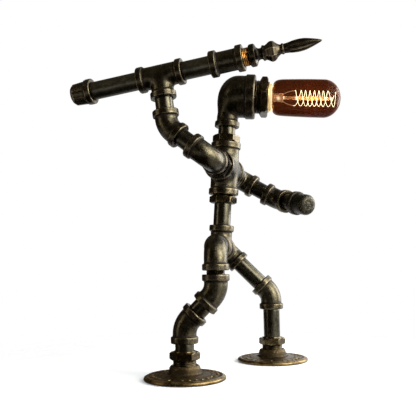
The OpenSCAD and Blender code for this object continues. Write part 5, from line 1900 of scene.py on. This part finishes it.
    @staticmethod
    def _pressed(along: Array, angles: Array, radius: Array) -> Pair:
        """Flattens the tube into the press: the half-width across the press shrinks to 40%."""
        flat = rise(along, 3.0, 6.0)
        squeeze = 1 / np.sqrt(np.cos(angles) ** 2 + (np.sin(angles) / (1 - 0.6 * flat)) ** 2)
        return radius * squeeze, np.zeros_like(radius)

    @staticmethod
    def _tube(centres: Array, radius: float, sides: int = 10) -> Patch:
        """Round wire along a line of points: circles square to it, closed at both ends.

        Args:
            centres: the points, a row each.
            radius: the wire's radius.
            sides: points round the wire.

        Returns:
            A closed surface.
        """
        along = np.gradient(centres, axis=0)
        along /= np.linalg.norm(along, axis=1)[:, None]
        guide = np.array([0.31, 0.22, 0.92])
        first = np.cross(along, guide)
        first /= np.linalg.norm(first, axis=1)[:, None]
        second = np.cross(along, first)
        size = np.full(len(centres), radius)
        size[[0, -1]] = 0.0
        points = rings(centres, first, second, size[:, None], circle(sides))
        zero = np.zeros(points.shape[:2])
        return Patch(points, zero, zero)

    def _strand(self, knots: Array) -> Array:
        """One strand of the filament, in the bulb's frame with X to the far side and Y up.

        Its turns t pass the places z that the knots (t, z) give, on a circle of the coil's radius,
        and each turn leans: z grows by tilt times x.

        Args:
            knots: turns and places, a row each.

        Returns:
            Points on its line.
        """
        turns = np.linspace(knots[0, 0], knots[-1, 0], 260)
        angle = math.pi / 2 + FULL_TURN * turns
        x, y = self.coil_r * np.cos(angle), self.coil_r * np.sin(angle)
        return np.stack([x, y, smooth_curve(knots, turns) + self.coil_tilt * x], axis=-1)

    def _strands(self) -> list[Array]:
        """The strand that goes out and the one that comes back, half a turn apart, to one hook.

        Their knots are (turns, places in steps of one turn from the coil's start), and both end
        at the coil's end.
        """
        out = [(0.0, 0.0), (1.0, 1.16), (2.0, 2.17), (3.0, 3.17), (3.5, 3.72), (4.0, self.coil_turns)]
        home = [(0.5, -0.16), (1.0, 0.67), (2.0, 1.67), (3.0, 2.67), (4.0, 3.67), (4.5, 4.33),
                (5.0, self.coil_turns)]
        step = (self.coil_to - self.coil_from) / self.coil_turns
        return [self._strand(np.array(knots) * (1.0, step) + (0.0, self.coil_from)) for knots in (out, home)]

    def _leads(self, face: Place) -> list[Patch]:
        """Lead wires from the press to both strands, and the hooks at the end of the support rod."""
        share = np.linspace(0, 1, 24)[:, None]
        patches = []
        for side, line in zip((1, -1), self._strands()):
            wire = np.array([0.0, 3.4 * side, 11.0]) * (1 - share) + line[0] * share
            wire[:, 1] += 1.2 * side * np.sin(math.pi * share[:, 0])
            patches.append(self._tube(face.world(wire), self.lead_r))
        for angle in circle(6) + math.pi / 6:
            arm = np.array([math.cos(angle), math.sin(angle), 0.0])
            line = np.linspace(0.5, self.coil_r * 0.9, 8)[:, None] * arm + (self.hook_z - 0.6) * Z_AXIS
            line[:, 2] -= 1.5 * np.sin(np.linspace(0, 1, 8) * math.pi / 2)
            patches.append(self._tube(face.world(line), self.arm_r, 6))
        start, end = np.array([0.0, 1.0, self.hook_z]), np.array([0.0, self.coil_r, self.coil_to])
        return [*patches, self._tube(face.world(start * (1 - share) + end * share), self.hook_r, 6)]


# ---- the studio


@dataclass
class Studio:
    """Floor, world, lamps, dark cards and camera, with sizes in metres and angles in degrees."""

    figure: Figure
    fill_strength: float = 0.32
    floor_r: float = 0.9
    floor_fade: tuple[float, float] = (0.20, 0.42)
    floor_lift: float = 0.27
    floor_z: float = -0.0004
    aim: Triple = (0.0, 0.0, 0.2)
    bulb_watts: float = 0.42
    bulb_middle: float = 105.0
    camera_spot: Triple = (0.07777, -0.74515, 0.12388)
    yaw: float = 0.110
    pitch: float = 0.097
    roll: float = -0.015
    focal_share: float = 603.24 / 416
    wall_r: float = 1.7
    wall_from: float = 93.0
    wall_to: float = 298.0
    wall_top: float = 1.5
    lid_to: float = 0.55
    apron_r: float = 0.55
    apron_from: float = 130.0
    apron_z: float = 0.001
    wall_tone: Colour = (0.07, 0.052, 0.034)
    lid_tone: Colour = (0.17, 0.145, 0.105)

    def build(self) -> None:
        """Makes all of it."""
        self._world()
        self._floor()
        self._cards()
        self._lamps()
        self._camera()
        bpy.context.scene.view_settings.view_transform = "Standard"

    def _world(self) -> None:
        """White to the camera, to gloss and through glass, and a plain dim fill for the rest."""
        s = Shader(bpy.data.worlds.new("studio"))
        white = s.node("ShaderNodeBackground", None, {"Color": (1.0, 1.0, 1.0)})
        fill = s.node("ShaderNodeBackground", None, {
            "Color": (1.0, 0.97, 0.92), "Strength": self.fill_strength})
        mix = s.node("ShaderNodeMixShader", None, {
            0: s.background_rays, 1: fill.outputs[0], 2: white.outputs[0]})
        bpy.context.scene.world = s.close("ShaderNodeOutputWorld", mix)

    @staticmethod
    def _place(name: str, points: Array, loop: bool, paint: bpy.types.Material) -> bpy.types.Object:
        """Puts a grid of points in metres into the scene as a piece of the set.

        Args:
            name: the object's name.
            points: the grid.
            loop: whether its columns close.
            paint: its material.

        Returns:
            The object.
        """
        patch = Patch(points, points[..., 0], points[..., 0], loop_cols=loop, flip=False)
        mesh = bpy.data.meshes.new(name)
        mesh.from_pydata(points.reshape(-1, 3).tolist(), [], patch.faces().tolist())
        mesh.materials.append(paint)
        made = bpy.data.objects.new(name, mesh)
        bpy.context.scene.collection.objects.link(made)
        return made

    @staticmethod
    def _sector(away: Array, turn: Array, z: float) -> Array:
        """Level grid of points at each distance from the middle and each angle in radians."""
        far = away[:, None]
        return np.stack([far * np.cos(turn), far * np.sin(turn), np.full((len(away), len(turn)), z)], axis=-1)

    def _floor(self) -> None:
        """Round white floor that fades out, so that it meets the white world with no line.

        Its paint gets a lift for camera, glossy and transmission rays, so that it is white where
        the lamps reach it and pale grey in the lamp's shadow.
        """
        s = Shader.new("floor_paint")
        away = s.wire(s.node("ShaderNodeVectorMath", {"operation": "LENGTH"}, {0: s.coords}), "Value")
        grain = s.noise(1.5, 2, 0.5)
        paint = s.node("ShaderNodeBsdfPrincipled", None, {
            "Base Color": s.mixed(grain, (0.93, 0.93, 0.92), (0.96, 0.96, 0.95)), "Roughness": 0.75,
            "Specular IOR Level": 0.1})
        lift = s.background_rays * self.floor_lift
        glow = s.node("ShaderNodeEmission", None, {"Color": (0.72, 0.85, 1.0), "Strength": lift})
        both = s.node("ShaderNodeAddShader", None, {0: paint.outputs[0], 1: glow.outputs[0]})
        clear = s.node("ShaderNodeBsdfTransparent")
        mixed = s.node("ShaderNodeMixShader", None, {
            0: away.ramped(*self.floor_fade), 1: both.outputs[0], 2: clear.outputs[0]})
        points = self._sector(np.linspace(self.floor_r, 0, 8), circle(64), self.floor_z)
        self._place("floor", points, True, s.close("ShaderNodeOutputMaterial", mixed))

    def _cards(self) -> None:
        """A dark wall round the front, the left and the back, a lid, and an apron on the floor."""
        turn = np.radians(np.linspace(self.wall_from, self.wall_to, 48))
        high = np.linspace(-0.1, self.wall_top, 4)[:, None]
        wall = np.broadcast_arrays(self.wall_r * np.cos(turn), self.wall_r * np.sin(turn), high)
        x, y = np.linspace(-self.wall_r, self.lid_to, 4), np.linspace(-self.wall_r, self.wall_r, 4)
        lid = np.broadcast_arrays(x[:, None], y, self.wall_top)
        sector = np.radians(np.linspace(self.apron_from, self.wall_to, 32))
        self._card("card_wall", np.stack(wall, axis=-1), self.wall_tone)
        self._card("card_lid", np.stack(lid, axis=-1), self.lid_tone)
        self._card("card_apron", self._sector(np.linspace(0.03, self.apron_r, 4), sector, self.apron_z),
                   self.wall_tone)

    def _card(self, name: str, points: Array, tone: Colour) -> None:
        """Puts a grid of points in metres into the scene as a card that only gloss shows."""
        s = Shader.new(name + "_paint")
        mottled = s.mixed(s.noise(400, 2, 0.5), tone, tuple(c * 0.7 for c in tone))
        glow = s.node("ShaderNodeEmission", None, {"Color": mottled})
        made = self._place(name, points, False, s.close("ShaderNodeOutputMaterial", glow))
        made.visible_camera = made.visible_diffuse = made.visible_shadow = False
        made.visible_transmission = made.visible_volume_scatter = False

    @staticmethod
    def _light(name: str, kind: str, watts: float, colour: Colour) -> bpy.types.Object:
        """A lamp of a kind that the camera doesn't see."""
        data = bpy.data.lights.new(name, kind)
        data.energy, data.color = watts, colour
        lamp = bpy.data.objects.new(name, data)
        lamp.visible_camera = False
        bpy.context.scene.collection.objects.link(lamp)
        return lamp

    def _soft_box(self, name: str, spot: Triple, size: tuple[float, float], watts: float,
                  colour: Colour) -> None:
        """Rectangular soft light of a size at a spot, both in metres, that looks at the lamp."""
        lamp = self._light(name, "AREA", watts, colour)
        lamp.data.shape = "RECTANGLE"
        lamp.data.size, lamp.data.size_y = size
        turn = (Vector(self.aim) - Vector(spot)).to_track_quat("-Z", "Y")
        lamp.matrix_world = Matrix.Translation(spot) @ turn.to_matrix().to_4x4()

    def _lamps(self) -> None:
        """Key from the right, a rim light, a weak fill from the left, and the bulb's own warm light."""
        self._soft_box("key", (1.15, -0.62, 0.80), (1.5, 1.5), 27.0, (1.0, 0.98, 0.92))
        self._soft_box("hot_key", (1.10, -0.66, 0.60), (0.45, 0.6), 9.0, (1.0, 0.97, 0.88))
        self._soft_box("rim", (1.20, 0.62, 0.55), (0.9, 1.0), 22.0, (1.0, 0.99, 0.95))
        self._soft_box("fill", (-1.15, -0.55, 0.45), (0.28, 1.1), 2.4, (1.0, 0.88, 0.72))
        bulb = self._light("bulb_light", "POINT", self.bulb_watts, (1.0, 0.62, 0.28))
        bulb.data.shadow_soft_size = 0.009
        bulb.location = self.figure.face().moved(z=self.bulb_middle).origin * MM
        bulb.visible_glossy = bulb.visible_transmission = False

    def _camera(self) -> None:
        """Camera from its yaw, pitch and roll: forward (-sin yaw, cos yaw, 0), raised by the pitch."""
        cy, sy = math.cos(self.yaw), math.sin(self.yaw)
        cp, sp = math.cos(self.pitch), math.sin(self.pitch)
        cr, sr = math.cos(self.roll), math.sin(self.roll)
        level, right, up = Vector((-sy, cy, 0)), Vector((cy, sy, 0)), Vector((0, 0, 1))
        forward = level * cp + up * sp
        upward = up * cp - level * sp
        turn = Matrix((right * cr + upward * sr, upward * cr - right * sr, -forward)).transposed().to_4x4()
        data = bpy.data.cameras.new("camera")
        data.sensor_width = 36.0
        data.lens = self.focal_share * data.sensor_width
        data.clip_start = 0.01
        camera = bpy.data.objects.new("camera", data)
        camera.matrix_world = Matrix.Translation(self.camera_spot) @ turn
        bpy.context.scene.collection.objects.link(camera)
        bpy.context.scene.camera = camera


def main() -> None:
    """Builds the studio and then the figure, from its feet to its bulb."""
    logging.basicConfig(level=logging.INFO, format="%(name)s %(message)s")
    figure = Figure()
    bench = Bench()
    Studio(figure).build()
    assemblies = [Foot(figure, figure.near_foot(), "near", -18.0, 6.0),
                  Foot(figure, figure.far_foot(), "far", 0.0, 0.0)]
    assemblies += [kind(figure) for kind in (Legs, Torso, NearArm, Spear, FarArm, FarHand, Head, Bulb)]
    for assembly in assemblies:
        assembly.build(bench)


if __name__ == "__main__":
    main()
